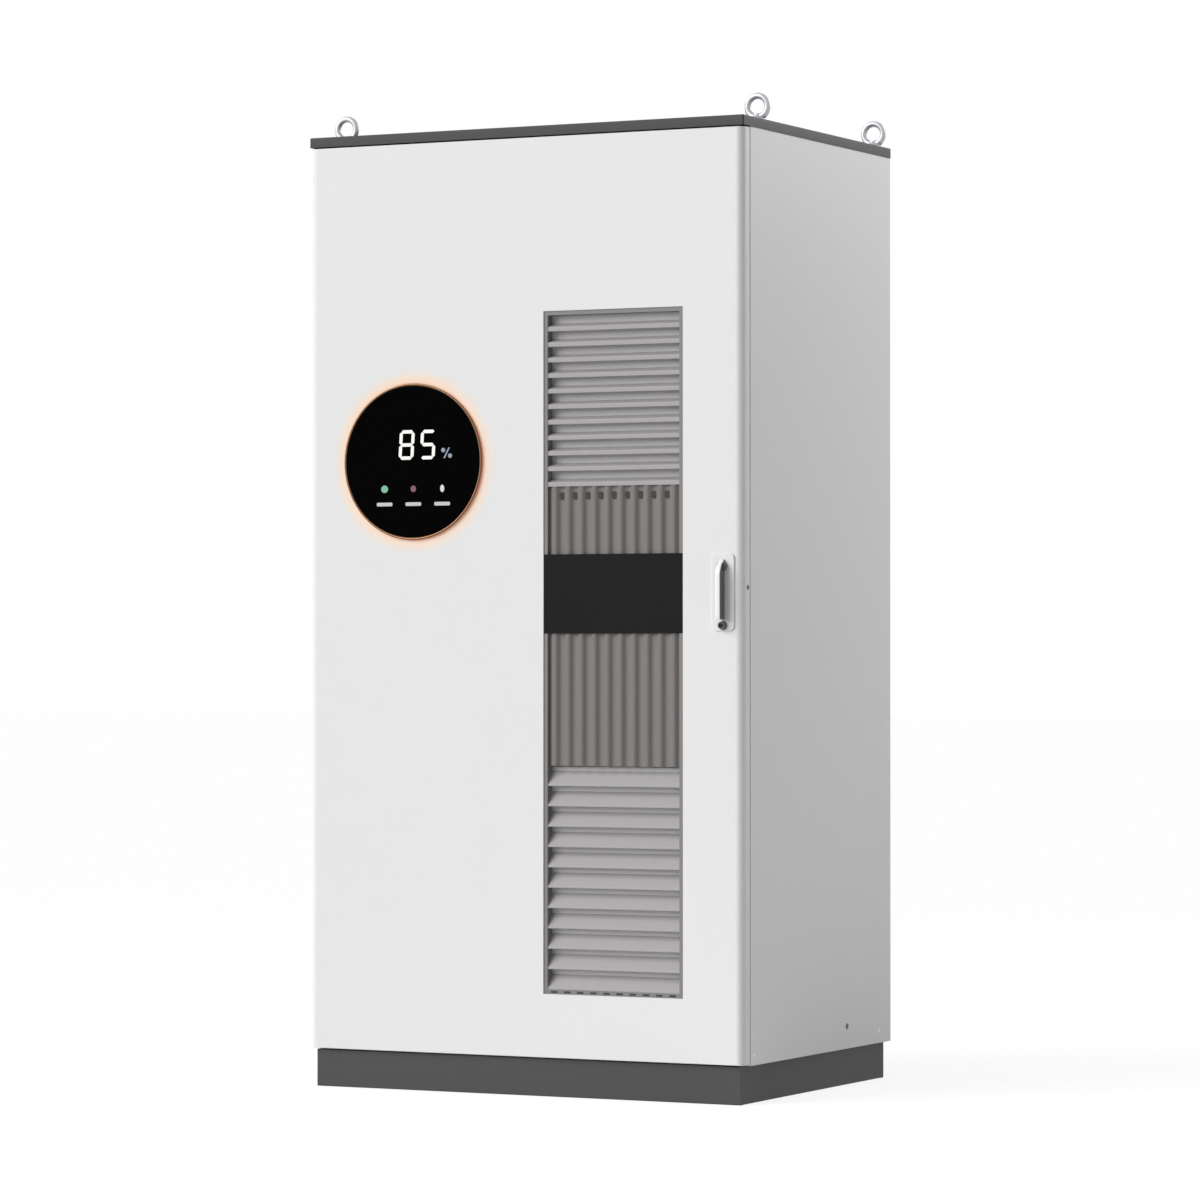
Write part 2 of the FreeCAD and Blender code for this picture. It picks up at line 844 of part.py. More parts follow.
def hinges():
    """Three concealed hinges: frame leaf with two knuckles, door leaf with one, and a pin."""
    frame_leaves = []
    door_leaves = []
    pins = []
    third = hinge_height / 3
    radius = hinge_knuckle / 2
    leaf_face = frame_front - hinge_plate
    for level in hinge_levels:
        low = level - hinge_height / 2
        leaf_x = (-frame_half, hinge_x + hinge_plate_reach)
        parts = [block(leaf_x, (leaf_face, frame_front), (low, low + hinge_height))]
        for start in (low, low + 2 * third + touch):
            tall = third - touch
            parts.append(disc(hinge_knuckle, (hinge_x, hinge_y, start), axis_z, tall))
            arm_x = (hinge_x - radius, hinge_x + radius)
            parts.append(block(arm_x, (hinge_y, leaf_face), (start, start + tall)))
        bore = disc(hinge_pin + slip, (hinge_x, hinge_y, low), axis_z, hinge_height)
        frame_leaves.append(join(parts).cut(bore))
        start = low + third
        tall = third
        knuckle = disc(hinge_knuckle, (hinge_x, hinge_y, start), axis_z, tall)
        pocket_side = -half + hinge_pocket_x
        web_y = (hinge_y - radius, hinge_y - radius + hinge_plate)
        web = block((hinge_x, pocket_side), web_y, (start, start + tall))
        foot_y = (door_back - hinge_pocket_y, web_y[1])
        foot = block((pocket_side - hinge_plate, pocket_side), foot_y, (start, start + tall))
        bore = disc(hinge_pin + 2 * slip, (hinge_x, hinge_y, start), axis_z, tall)
        door_leaves.append(join([knuckle, web, foot]).cut(bore))
        pin_low = (hinge_x, hinge_y, low - hinge_pin_tail)
        pin = disc(hinge_pin, pin_low, axis_z, hinge_height + hinge_pin_tail)
        head = disc(hinge_knuckle, (hinge_x, hinge_y, low + hinge_height), axis_z, hinge_pin_head)
        pins.append(join([pin, head]))
    save("hinge_frame_leaves", frame_leaves)
    save("hinge_door_leaves", door_leaves)
    save("hinge_pins", pins)


# Handle and lock

def handle_base():
    """Rounded plate with the bearing for the spindle and the boss for the key."""
    x = (handle_x - handle_plate_width / 2, handle_x + handle_plate_width / 2)
    plate = block(x, (plate_face, front), (handle_z - handle_plate_below, handle_z + handle_plate_above))
    plate = round_edges(plate, handle_plate_radius, crossing_edge)
    boss_face = plate_face - key_boss_height
    plate = join([plate, disc(key_boss, (handle_x, boss_face, key_z), axis_y, key_boss_height)])
    journal = (handle_x, plate_face, handle_z)
    plate = plate.cut(disc(spindle_journal + 2 * slip, journal, axis_y, handle_plate_thickness))
    plate = plate.cut(disc(key_plug + 2 * slip, (handle_x, boss_face, key_z), axis_y, front - boss_face))
    save("handle_base", [plate])


def handle_lever():
    """Upright fin with a hub on the spindle."""
    back = plate_face - lever_gap
    tip = back - lever_depth
    low = handle_z - lever_below
    outline = [(0, back, low), (0, tip, low + lever_foot_slope), (0, tip, handle_z - lever_brow_drop),
               (0, tip + lever_nose_depth, handle_z + lever_nose_rise), (0, back, handle_z + lever_above)]
    fin = prism(outline, (handle_x - lever_width / 2, 0, 0), (lever_width, 0, 0))
    ahead = back - lever_gap / 2
    fin = round_edges(fin, lever_edge_radius, lambda edge: flat_along_x(edge) and edge.BoundBox.YMax < ahead)
    hub = disc(lever_hub, (handle_x, back - lever_hub_length, handle_z), axis_y, lever_hub_length)
    save("handle_lever", [join([fin, hub])])


def handle_spindle():
    """Round journal in the handle plate, a square shaft through the pinion and a round tail."""
    start = plate_face - lever_gap
    journal_end = skin_back + spindle_shoulder
    journal = disc(spindle_journal, (handle_x, start, handle_z), axis_y, journal_end - start)
    side = spindle_square / 2
    square_end = pan_front - lock_case_wall - spindle_end_gap
    square_z = (handle_z - side, handle_z + side)
    square = block((handle_x - side, handle_x + side), (journal_end, square_end), square_z)
    tail = disc(spindle_square, (handle_x, square_end, handle_z), axis_y, pan_front - square_end)
    save("handle_spindle", [join([journal, square, tail])])


def involute_gear(teeth, module, middle, width, square):
    """Spur gear on an axis along Y, with its teeth set by the involute of the base circle."""
    radius = module * teeth / 2
    base = radius * math.cos(math.radians(pressure_angle))
    tip = radius + tooth_above
    root = radius - tooth_below
    angle = math.radians(pressure_angle)
    half_tooth = (math.pi * module - gear_backlash) / 4 / radius
    steps = 5
    flank = []
    for i in range(steps):
        r = base + (tip - base) * i / (steps - 1)
        roll = math.acos(base / r)
        flank.append((r, half_tooth + math.tan(angle) - angle - math.tan(roll) + roll))
    flank = [(root, flank[0][1])] + flank
    outline = []
    for i in range(teeth):
        centre = 2 * math.pi * i / teeth
        lower = [(r, centre - turn) for r, turn in flank]
        upper = [(r, centre + turn) for r, turn in reversed(flank)]
        outline += lower + upper
    points = [(middle[0] + r * math.cos(t), middle[1], middle[2] + r * math.sin(t)) for r, t in outline]
    gear = prism(points, (0, 0, 0), (0, width, 0))
    side = square / 2 + slip
    bore = block((middle[0] - side, middle[0] + side), (middle[1], middle[1] + width),
                 (middle[2] - side, middle[2] + side))
    return gear.cut(bore)


def lock_pinion():
    """Pinion that drives both lock rods."""
    save("lock_pinion", [involute_gear(gear_teeth, gear_module, (handle_x, rod_y - gear_width / 2, handle_z),
                                       gear_width, spindle_square)])


def rack_bar(side, low, high, first, last):
    """Flat bar with rack teeth that face the pinion; side is -1 left of it and 1 right of it."""
    pitch_line = handle_x + side * pitch_radius
    root = pitch_line + side * tooth_below
    tip = pitch_line - side * tooth_above
    y = (rod_y - rod_thickness / 2, rod_y + rod_thickness / 2)
    outer = root + side * rod_width
    bar = block(sorted((root, outer)), y, (low, high))
    slope = math.tan(math.radians(pressure_angle))
    at_pitch = (rack_pitch - gear_backlash) / 4
    at_root = at_pitch + tooth_below * slope
    at_tip = at_pitch - tooth_above * slope
    buried = root + side * 0.5
    teeth = []
    for i in range(first, last + 1):
        z = handle_z + (i + 0.5) * rack_pitch
        outline = [(buried, y[0], z - at_root), (root, y[0], z - at_root), (tip, y[0], z - at_tip),
                   (tip, y[0], z + at_tip), (root, y[0], z + at_root), (buried, y[0], z + at_root)]
        teeth.append(prism(outline, (0, 0, 0), (0, rod_thickness, 0)))
    return join([bar] + teeth)


def lock_rods():
    """Upper rod on the left of the pinion and lower rod on its right, both drawn back."""
    upper_end = door_top - door_sheet - rod_end_gap - rod_travel
    lower_end = door_bottom + door_sheet + rod_end_gap + rod_travel
    reach = rod_travel + rod_spare_teeth * rack_pitch
    save("upper_lock_rod", [rack_bar(-1, handle_z - reach, upper_end, -8, 2)])
    save("lower_lock_rod", [rack_bar(1, lower_end, handle_z + reach, -3, 7)])


def lock_case():
    """Square sleeve round the pinion and both racks, open above and below."""
    x = (handle_x - lock_case_half, handle_x + lock_case_half)
    z = (handle_z - lock_case_tall, handle_z + lock_case_tall)
    case = hollow(x, (skin_back, pan_front), z, lock_case_wall, "z")
    front_hole = (handle_x, skin_back, handle_z)
    case = case.cut(disc(spindle_journal + 2 * cut_room, front_hole, axis_y, lock_case_wall))
    tail_hole = (handle_x, pan_front - lock_case_wall, handle_z)
    case = case.cut(disc(spindle_square + 2 * slip, tail_hole, axis_y, lock_case_wall))
    save("lock_case", [case])


def key_cylinder():
    """Key plug in the handle's boss, with a cam tail behind the skin."""
    face = plate_face - key_boss_height
    back = skin_back + key_tail
    plug = disc(key_plug, (handle_x, face, key_z), axis_y, back - face)
    slot_x = (handle_x - key_slot_width / 2, handle_x + key_slot_width / 2)
    slot = block(slot_x, (face, face + key_slot_depth), (key_z - key_slot_tall / 2, key_z + key_slot_tall / 2))
    cam_x = (handle_x - key_plug / 2, handle_x + key_plug / 2)
    cam = block(cam_x, (back - key_cam_sheet, back), (key_z - key_cam_reach, key_z))
    save("key_cylinder", [join([plug.cut(slot), cam])])


def guide_places():
    """Middle of each guide: evenly spaced on the lower rod, then on the upper rod."""
    spans = ((1, door_bottom + guide_from_end, handle_z - guide_from_spindle),
             (-1, handle_z + guide_from_spindle, door_top - guide_from_end))
    places = []
    for side, low, high in spans:
        step = (high - low) / (guides_per_rod - 1)
        places += [(handle_x + side * rod_offset, low + i * step) for i in range(guides_per_rod)]
    return places


def rod_guides():
    """Blocks on the inner panel that the rods slide through."""
    guides = []
    hole_half_x = rod_width / 2 + touch
    hole_half_y = rod_thickness / 2 + touch
    for x, level in guide_places():
        reach_x = rod_width / 2 + guide_body
        reach_y = rod_thickness / 2 + guide_body
        z = (level - guide_tall / 2, level + guide_tall / 2)
        guide = block((x - reach_x, x + reach_x), (rod_y - reach_y, pan_front), z)
        hole = block((x - hole_half_x, x + hole_half_x), (rod_y - hole_half_y, rod_y + hole_half_y), z)
        guides.append(guide.cut(hole))
    save("rod_guides", guides)


def lock_keepers():
    """Angle brackets on the frame, with a hole that each rod's end enters."""
    keepers = []
    hole_half_x = rod_width / 2 + keeper_hole_room
    hole_half_y = rod_thickness / 2 + keeper_hole_room
    for (x, z), upward in zip(keeper_places(), (1, -1)):
        span = (x - keeper_length / 2, x + keeper_length / 2)
        sheet_z = (z - keeper_sheet / 2, z + keeper_sheet / 2)
        tongue = block(span, (rod_y - keeper_reach, frame_front), sheet_z)
        foot_z = sorted((z - upward * keeper_sheet / 2, z + upward * keeper_foot_tall))
        plate = block(span, (frame_front - keeper_foot_sheet, frame_front), foot_z)
        hole = block((x - hole_half_x, x + hole_half_x), (rod_y - hole_half_y, rod_y + hole_half_y), sheet_z)
        keepers.append(join([tongue, plate]).cut(hole))
    save("lock_keepers", keepers)


# Display

def display():
    """Round glass in a thin rim, on a light guide, with a can behind the door's skin."""
    guide_face = front - dial_standoff
    glass_face = guide_face - dial_glass
    inner = dial_diameter - 2 * dial_rim
    guide_outer = dial_diameter - 2 * dial_guide_inset
    guide_inner = dial_can - 2 * dial_guide_lap
    guide = ring(guide_outer, guide_inner, (dial_x, guide_face, dial_z), axis_y, dial_standoff)
    save("display_light_ring", [guide])
    save("display_glass", [disc(inner - 2 * touch, (dial_x, glass_face, dial_z), axis_y, dial_glass)])
    bezel_face = glass_face - dial_rim_proud
    bezel = ring(dial_diameter, inner, (dial_x, bezel_face, dial_z), axis_y, guide_face - bezel_face)
    save("display_bezel", [bezel])
    centre = (dial_x, front, dial_z)
    space = disc(dial_can - 2 * dial_can_wall, centre, axis_y, dial_can_depth - dial_can_wall)
    can = disc(dial_can, centre, axis_y, dial_can_depth).cut(space)
    board_face = front + board_gap
    board = disc(dial_can - 4 * dial_can_wall, (dial_x, board_face, dial_z), axis_y, board_sheet)
    post_start = board_face + board_sheet
    post_length = front + dial_can_depth - dial_can_wall - post_start
    posts = []
    for i in range(4):
        turn = math.radians(45 + 90 * i)
        reach = dial_can / 2 - board_post_inset
        place = (dial_x + reach * math.cos(turn), post_start, dial_z + reach * math.sin(turn))
        posts.append(disc(board_post, place, axis_y, post_length))
    save("display_can", [can, join([board] + posts)])


# Grille

def grille_frame():
    """Deep frame in the door's opening, with a flange behind the skin."""
    ahead = front + grille_recess
    y = (ahead, ahead + grille_depth)
    wall_x = (grille_left + grille_fit, grille_right - grille_fit)
    wall = block(wall_x, y, (grille_bottom + grille_fit, grille_top - grille_fit))
    flange_x = (grille_left - grille_flange, grille_right + grille_flange)
    flange_z = (grille_bottom - grille_flange, grille_top + grille_flange)
    flange = block(flange_x, (skin_back, skin_back + grille_flange_sheet), flange_z)
    body = join([wall, flange])
    save("grille_frame", [body.cut(block((opening_left, opening_right), y, (opening_bottom, opening_top)))])


def louvre(low, tall, lip):
    """Sloping blade that sheds rain outwards, with an upright lip at its foot."""
    ahead = front + grille_recess + blade_recess
    behind = ahead + blade_depth
    outline = [(0, ahead, low), (0, ahead, low + lip), (0, behind, low + tall),
               (0, behind, low + tall - blade_sheet * 1.4),
               (0, ahead + blade_sheet, low + lip - blade_sheet / 2), (0, ahead + blade_sheet, low)]
    return prism(outline, (opening_left, 0, 0), (opening_right - opening_left, 0, 0))


def louvre_set(low, high, pitch, share, lip):
    """Blades that fill the height between two levels, at about the named pitch."""
    count = round((high - low) / pitch)
    step = (high - low) / count
    return [louvre(low + i * step, share * step, lip) for i in range(count)]


def louvres():
    """Upper and lower sets of blades."""
    upper = louvre_set(upper_louvre_bottom, upper_louvre_top, upper_louvre_pitch, upper_blade_share,
                       upper_blade_lip)
    save("upper_louvres", upper)
    lower = louvre_set(opening_bottom, lower_louvre_top, lower_louvre_pitch, lower_blade_share,
                       lower_blade_lip)
    save("lower_louvres", lower)


def ribbed_panels():
    """Two fluted plates above and below the black band."""
    ahead = front + grille_recess + rib_recess
    root = ahead + rib_depth
    count = round((opening_right - opening_left) / rib_pitch)
    pitch = (opening_right - opening_left) / count
    plates = []
    for z in ((lower_louvre_top, band_bottom), (band_top, upper_louvre_bottom)):
        parts = [block((opening_left, opening_right), (root, root + rib_sheet), z)]
        for i in range(count):
            x = opening_left + (i + 0.25) * pitch
            parts.append(block((x, x + pitch / 2), (ahead, root), z))
        plates.append(join(parts))
    save("ribbed_panels", plates)
    band_face = front + grille_recess
    band = block((opening_left, opening_right), (band_face, band_face + band_sheet), (band_bottom, band_top))
    save("band_plate", [band])


# Door cooler

def cooler_case():
    """Sheet case on the back of the door, with a wall between the outer and the inner air."""
    x = (cooler_left - case_sheet, cooler_right + case_sheet)
    z = (cooler_bottom - case_sheet, cooler_top + case_sheet)
    flange_x = (x[0] - cooler_flange, x[1] + cooler_flange)
    flange_z = (z[0] - cooler_flange, z[1] + cooler_flange)
    flange = block(flange_x, (pan_back, pan_back + case_sheet), flange_z)
    inner_back = cooler_back - case_sheet
    inside = block((cooler_left, cooler_right), (pan_back, inner_back), (cooler_bottom, cooler_top))
    shell = join([block(x, (pan_back, cooler_back), z), flange]).cut(inside)
    wall_y = (cooler_wall, cooler_wall + case_sheet)
    shell = join([shell, block((cooler_left, cooler_right), wall_y, (cooler_bottom, cooler_top))])
    blow = fan_small + 2 * (fan_tip_gap + cut_room)
    shell = shell.cut(disc(blow, (cooler_middle, inner_back, inner_fan_level), axis_y, case_sheet))
    vent_x = (cooler_left + vent_side, cooler_right - vent_side)
    for i in range(vent_count):
        low = cooler_bottom + vent_start + i * vent_pitch
        shell = shell.cut(block(vent_x, (inner_back, cooler_back), (low, low + vent_tall)))
    save("cooler_case", [shell])


def coil(y_low, z_low, z_high):
    """Finned block with end plates and the return bends of its tubes."""
    x = (cooler_left + coil_side, cooler_right - coil_side)
    y = (y_low, y_low + coil_depth)
    core = block(x, y, (z_low + coil_plate, z_high - coil_plate))
    ends = [block((cooler_left, cooler_right), y, (z, z + coil_plate)) for z in (z_low, z_high - coil_plate)]
    count = int((z_high - z_low - 2 * coil_end) // coil_bend_pitch)
    middle = y_low + coil_depth / 2
    bends = []
    for side, face in ((-1, x[0]), (1, x[1])):
        room = block(sorted((face, face + side * coil_side)), y, (z_low, z_high))
        for i in range(count):
            z = z_low + coil_end + 2 * coil_bend_radius + coil_bend_pitch * i
            bend = Part.makeTorus(coil_bend_radius, coil_tube / 2, FreeCAD.Vector(face, middle, z), axis_y)
            bends.append(bend.common(room))
    return join([core] + ends + bends)


def fan_frame(diameter, level, ahead):
    """Square plate with a round duct, two crossed arms and a motor can behind the rotor."""
    bore = diameter + 2 * fan_tip_gap
    side = bore / 2 + fan_frame_margin
    x = cooler_middle
    z = level
    plate_z = (z - side, z + side)
    plate = block((cooler_left, cooler_right), (ahead, ahead + fan_frame_sheet), plate_z)
    duct = disc(bore + 2 * fan_frame_sheet, (x, ahead, z), axis_y, fan_frame_depth)
    arm_y = (ahead + fan_frame_depth - fan_arm, ahead + fan_frame_depth)
    reach = bore / 2
    arm = fan_arm / 2
    arms = [block((x - reach, x + reach), arm_y, (z - arm, z + arm)),
            block((x - arm, x + arm), arm_y, (z - reach, z + reach))]
    motor = disc(fan_motor, (x, arm_y[0], z), axis_y, fan_motor_length)
    body = join([plate, duct]).cut(disc(bore, (x, ahead, z), axis_y, fan_frame_depth))
    body = join([body, motor] + arms)
    return body.cut(disc(fan_shaft + 2 * slip, (x, arm_y[0], z), axis_y, fan_motor_bore))


def fan_rotor(diameter, level, ahead):
    """Hub, shaft and pitched blades."""
    centre = (cooler_middle, ahead, level)
    parts = [disc(fan_hub, centre, axis_y, fan_depth), disc(fan_shaft, centre, axis_y, fan_shaft_length)]
    chord = diameter * fan_blade_share
    trim = disc(diameter, centre, axis_y, fan_depth)
    inner = fan_hub / 2 - fan_blade_root
    corner = FreeCAD.Vector(inner, -fan_blade_sheet / 2, -chord / 2)
    for i in range(fan_blades):
        blade = Part.makeBox(diameter / 2 - inner, fan_blade_sheet, chord, corner)
        blade.rotate(FreeCAD.Vector(0, 0, 0), axis_x, 90 - fan_blade_pitch)
        blade.rotate(FreeCAD.Vector(0, 0, 0), axis_y, 360.0 * i / fan_blades)
        blade.translate(FreeCAD.Vector(cooler_middle, ahead + fan_depth / 2, level))
        parts.append(blade.common(trim))
    return join(parts)


def cooler_inside():
    """Coils and fans of the door cooler."""
    ahead = pan_back + coil_gap
    outer = coil(ahead, opening_bottom - coil_gap, lower_louvre_top)
    inner_top = inner_fan_level - fan_small / 2 - coil_below_fan
    inner = coil(cooler_wall + case_sheet + inner_coil_gap, cooler_bottom + coil_end, inner_top)
    save("cooler_coils", [outer, inner])
    behind = cooler_back - case_sheet - fan_frame_depth - touch
    save("fan_frames", [fan_frame(fan_big, fan_level, ahead), fan_frame(fan_small, inner_fan_level, behind)])
    save("condenser_fan", [fan_rotor(fan_big, fan_level, ahead + fan_setback)])
    save("evaporator_fan", [fan_rotor(fan_small, inner_fan_level, behind + fan_setback)])


def compressor():
    """Upright compressor can on a shelf that is fixed to the cooler's inner wall."""
    radius = compressor_diameter / 2
    x = cooler_middle - compressor_shift
    y = cooler_wall - radius - compressor_wall_gap
    level = lower_louvre_top + compressor_above
    can = disc(compressor_diameter, (x, y, level), axis_z, compressor_height)
    can = round_edges(can, compressor_dome, lambda edge: edge.BoundBox.ZLength < 0.001)
    pipe = disc(compressor_pipe, (x, y, level + compressor_height / 2), axis_z,
                compressor_height / 2 + compressor_pipe_length)
    shelf_x = (x - radius - compressor_shelf_side, x + radius + compressor_shelf_side)
    shelf = block(shelf_x, (y - radius, cooler_wall), (level - compressor_shelf_sheet, level))
    back_y = (cooler_wall - compressor_shelf_sheet, cooler_wall)
    back = block(shelf_x, back_y, (level - compressor_shelf_drop, level))
    save("compressor", [join([can, pipe]), join([shelf, back])])


# Rack and what it carries

def rack():
    """Six uprights, two top rails, the runners and a sheet for the canister."""
    rows = ((rack_front, rack_front + upright_depth), (rack_rear - upright_depth, rack_rear))
    uprights = []
    rails = []
    for y in rows:
        for low in (-rack_half, -upright_width / 2, rack_half - upright_width):
            uprights.append(hollow((low, low + upright_width), y, (floor_top, rack_top), rack_wall, "z"))
        rails.append(hollow((-rack_half, rack_half), y, (rack_top, rack_top + upright_width), rack_wall, "x"))
    save("rack_frame", uprights + rails)
    angles = [angle for level in runner_levels() for angle in runners(level)]
    save("rack_shelves", angles + [canister_sheet()])


def runner_levels():
    """Top face of each set of runners."""
    return [first_runner + i * pack_pitch for i in range(pack_rows)] + [converter_level, control_level]


def runners(level):
    """Angle runners at both sides of each bay, with their flat face at the level."""
    angles = []
    y = (rack_front, rack_rear)
    low = level - runner_sheet
    for bay in (left_bay, right_bay):
        for wall, inward in ((bay[0], 1), (bay[1], -1)):
            upright = block(sorted((wall, wall + inward * runner_sheet)), y, (low, level + runner_width))
            flat = block(sorted((wall, wall + inward * runner_width)), y, (low, level))
            angles.append(join([upright, flat]))
    return angles


def battery_packs():
    """Sheet cases, cell blocks, grips, plugs and the bars that link the packs."""
    cases = []
    cells = []
    grips = []
    plugs = []
    bars = []
    cell_y = (rack_front + cell_front, rack_rear - cell_rear)
    plug_y = (rack_front - plug_reach, rack_front)
    for span in (left_span, right_span):
        middle = (span[0] + span[1]) / 2
        inside = (span[0] + pack_wall + cell_gap, span[1] - pack_wall - cell_gap)
        for row in range(pack_rows):
            low = first_runner + row * pack_pitch
            cases.append(closed_case(span, (rack_front, rack_rear), (low, low + pack_height), pack_wall))
            cell_z = (low + pack_wall, low + pack_height - cell_headroom)
            cells.append(block((inside[0], middle - cell_gap / 2), cell_y, cell_z))
            cells.append(block((middle + cell_gap / 2, inside[1]), cell_y, cell_z))
            for centre in (span[0] + grip_inset, span[1] - grip_inset):
                grips.append(grip(centre, (low + grip_end, low + pack_height - grip_end)))
            for centre in (middle - plug_offset, middle + plug_offset):
                plug_x = (centre - plug_width / 2, centre + plug_width / 2)
                plugs.append(block(plug_x, plug_y, (low + plug_rise, low + plug_rise + plug_tall)))
            if row < pack_rows - 1:
                bars.append(link_bar(middle, low))
    save("battery_cases", cases)
    save("battery_cells", cells)
    save("pack_grips", grips)
    save("pack_links", plugs + bars)


def grip(x, z):
    """Upright pull grip on the front of a box, between two levels."""
    span = (x - grip_wire / 2, x + grip_wire / 2)
    face = rack_front - grip_reach
    bar = block(span, (face, face + grip_wire), z)
    legs = [block(span, (face, rack_front), (low, low + grip_wire)) for low in (z[0], z[1] - grip_wire)]
    return join([bar] + legs)


def link_bar(middle, low):
    """Bar from the right plug of one pack to the left plug of the pack above."""
    y = (rack_front - plug_reach - bar_sheet, rack_front - plug_reach)
    left = (middle - plug_offset - bar_width / 2, middle - plug_offset + bar_width / 2)
    right = (middle + plug_offset - bar_width / 2, middle + plug_offset + bar_width / 2)
    crossing = low + bar_crossing
    foot = block(right, y, (low + plug_rise + bar_end_lap, crossing))
    cross = block((left[0], right[1]), y, (crossing, crossing + bar_width))
    head = block(left, y, (crossing + bar_width, low + pack_pitch + plug_rise + plug_tall - bar_end_lap))
    return join([foot, cross, head])


def converters():
    """Power converter on the left, distribution box on the right, control box above it."""
    y = (rack_front, rack_rear)
    z = (converter_level, converter_level + converter_height)
    converter = closed_case(left_span, y, z, pack_wall)
    fin_z = (z[0] + fin_end, z[1] - fin_end)
    count = int((left_span[1] - left_span[0] - 2 * fin_side) // fin_pitch) + 1
    fins = []
    for i in range(count):
        x = left_span[0] + fin_side + i * fin_pitch
        fins.append(block((x, x + fin_sheet), (rack_front - fin_reach, rack_front), fin_z))
    distribution = closed_case(right_span, y, z, pack_wall)
    control = closed_case(right_span, y, (control_level, control_level + control_height), pack_wall)
    centre = (knob_x, rack_front, knob_z)
    control = join([control, disc(knob_bush, centre, axis_y, knob_bush_length)])
    control = control.cut(disc(knob_shaft + 2 * slip, centre, axis_y, knob_bush_length))
    save("equipment_cases", [join([converter] + fins), distribution, control])


def isolator_knob():
    """Rotary switch knob on a round shaft that turns in the control box."""
    skirt_back = rack_front - knob_gap
    skirt_face = skirt_back - knob_skirt_tall
    skirt = disc(knob_skirt, (knob_x, skirt_face, knob_z), axis_y, knob_skirt_tall)
    bar_x = (knob_x - knob_bar_width / 2, knob_x + knob_bar_width / 2)
    bar_z = (knob_z - knob_bar_length / 2, knob_z + knob_bar_length / 2)
    bar = block(bar_x, (skirt_face - knob_bar_tall, skirt_face), bar_z)
    shaft_end = rack_front + knob_bush_length - 2 * knob_gap
    shaft = disc(knob_shaft, (knob_x, skirt_face, knob_z), axis_y, shaft_end - skirt_face)
    save("isolator_knob", [join([skirt, bar, shaft])])


def main_breaker():
    """Moulded breaker with a toggle that swings on a round pivot."""
    face = rack_front - breaker_depth
    x = (breaker_x - breaker_width / 2, breaker_x + breaker_width / 2)
    z = (knob_z - breaker_height / 2, knob_z + breaker_height / 2)
    pivot = (breaker_x - toggle_well_width / 2, face + toggle_depth, knob_z)
    well = disc(toggle_well, pivot, axis_x, toggle_well_width)
    outline = [(0, face, knob_z - toggle_mouth / 2), (0, face, knob_z + toggle_mouth / 2),
               (0, pivot[1], knob_z + toggle_well / 2), (0, pivot[1], knob_z - toggle_well / 2)]
    mouth = prism(outline, (pivot[0], 0, 0), (toggle_well_width, 0, 0))
    body = block(x, (face, rack_front), z).cut(well).cut(mouth)
    save("main_breaker", [join([body, disc(toggle_pin, pivot, axis_x, toggle_well_width)])])
    hub_start = (pivot[0] + toggle_side_gap, pivot[1], knob_z)
    hub = disc(toggle_hub, hub_start, axis_x, toggle_well_width - 2 * toggle_side_gap)
    lever_x = (breaker_x - toggle_width / 2, breaker_x + toggle_width / 2)
    lever_z = (knob_z - toggle_sheet / 2, knob_z + toggle_sheet / 2)
    lever = block(lever_x, (face - toggle_reach, pivot[1]), lever_z)
    toggle = join([hub, lever]).cut(disc(toggle_pin + 2 * slip, pivot, axis_x, toggle_well_width))
    toggle.rotate(FreeCAD.Vector(*pivot), axis_x, -toggle_swing / 2)
    save("breaker_toggle", [toggle])


def fire_canister():
    """Upright extinguishing bottle on the sheet above the converter."""
    place = (left_span[0] + canister_inset, rack_front + canister_setback)
    can = disc(canister_diameter, place + (control_level,), axis_z, canister_height)
    can = round_edges(can, canister_shoulder, lambda edge: edge.BoundBox.XLength > canister_diameter / 2)
    neck_low = control_level + canister_height / 2
    neck = disc(canister_neck, place + (neck_low,), axis_z, canister_height / 2 + canister_neck_height)
    save("fire_canister", [join([can, neck])])


def canister_sheet():
    """Sheet between the upper left runners."""
    inset = runner_width - box_gap
    x = (left_span[0] + inset, left_span[1] - inset)
    return block(x, (rack_front, rack_rear), (control_level - runner_sheet, control_level))


def door_switch():
    """Plunger switch under the head frame that the closed door presses."""
    x = -half + switch_inset
    z = head_bottom - switch_drop
    ahead = frame_front + switch_setback
    body_x = (x - switch_width / 2, x + switch_width / 2)
    body = block(body_x, (ahead, ahead + switch_depth), (head_bottom - switch_tall, head_bottom))
    face = pan_back + touch
    tail = ahead + plunger_seat
    bore = tail + plunger_travel + plunger_room - ahead
    body = body.cut(disc(plunger_diameter + 2 * slip, (x, ahead, z), axis_y, bore))
    save("door_switch", [body])
    save("switch_plunger", [disc(plunger_diameter, (x, face, z), axis_y, tail - face)])


def main():
    """Build every node."""
    os.makedirs("parts", exist_ok=True)
    plinth_corners()
    plinth_covers()
    base_frame()
    corner_posts()
    top_frame()
    side_and_rear_panels()
    floor_and_glands()
    roof_cover()
    save("frame_fasteners", plinth_bolts() + lifting_eyes())
    door_leaf()
    door_pan()
    save("door_reinforcements", door_stiffeners() + pocket_walls())
    door_gasket()
    hinges()
    handle_base()
    handle_lever()
    handle_spindle()
    lock_pinion()
    lock_rods()
    lock_case()
    key_cylinder()
    rod_guides()
    lock_keepers()
    display()
    grille_frame()
    louvres()
    ribbed_panels()
    cooler_case()
    cooler_inside()
    compressor()
    rack()
    battery_packs()
    converters()
    isolator_knob()
    main_breaker()
    fire_canister()
    door_switch()


main()
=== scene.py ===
"""Looks of an outdoor battery cabinet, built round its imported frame.

Lengths are in metres, in the frame's own axes: +X to the right, -Y towards the door, +Z up.
"""

from __future__ import annotations

import logging
import math
from dataclasses import dataclass, field
from enum import Enum
from typing import Any, Sequence

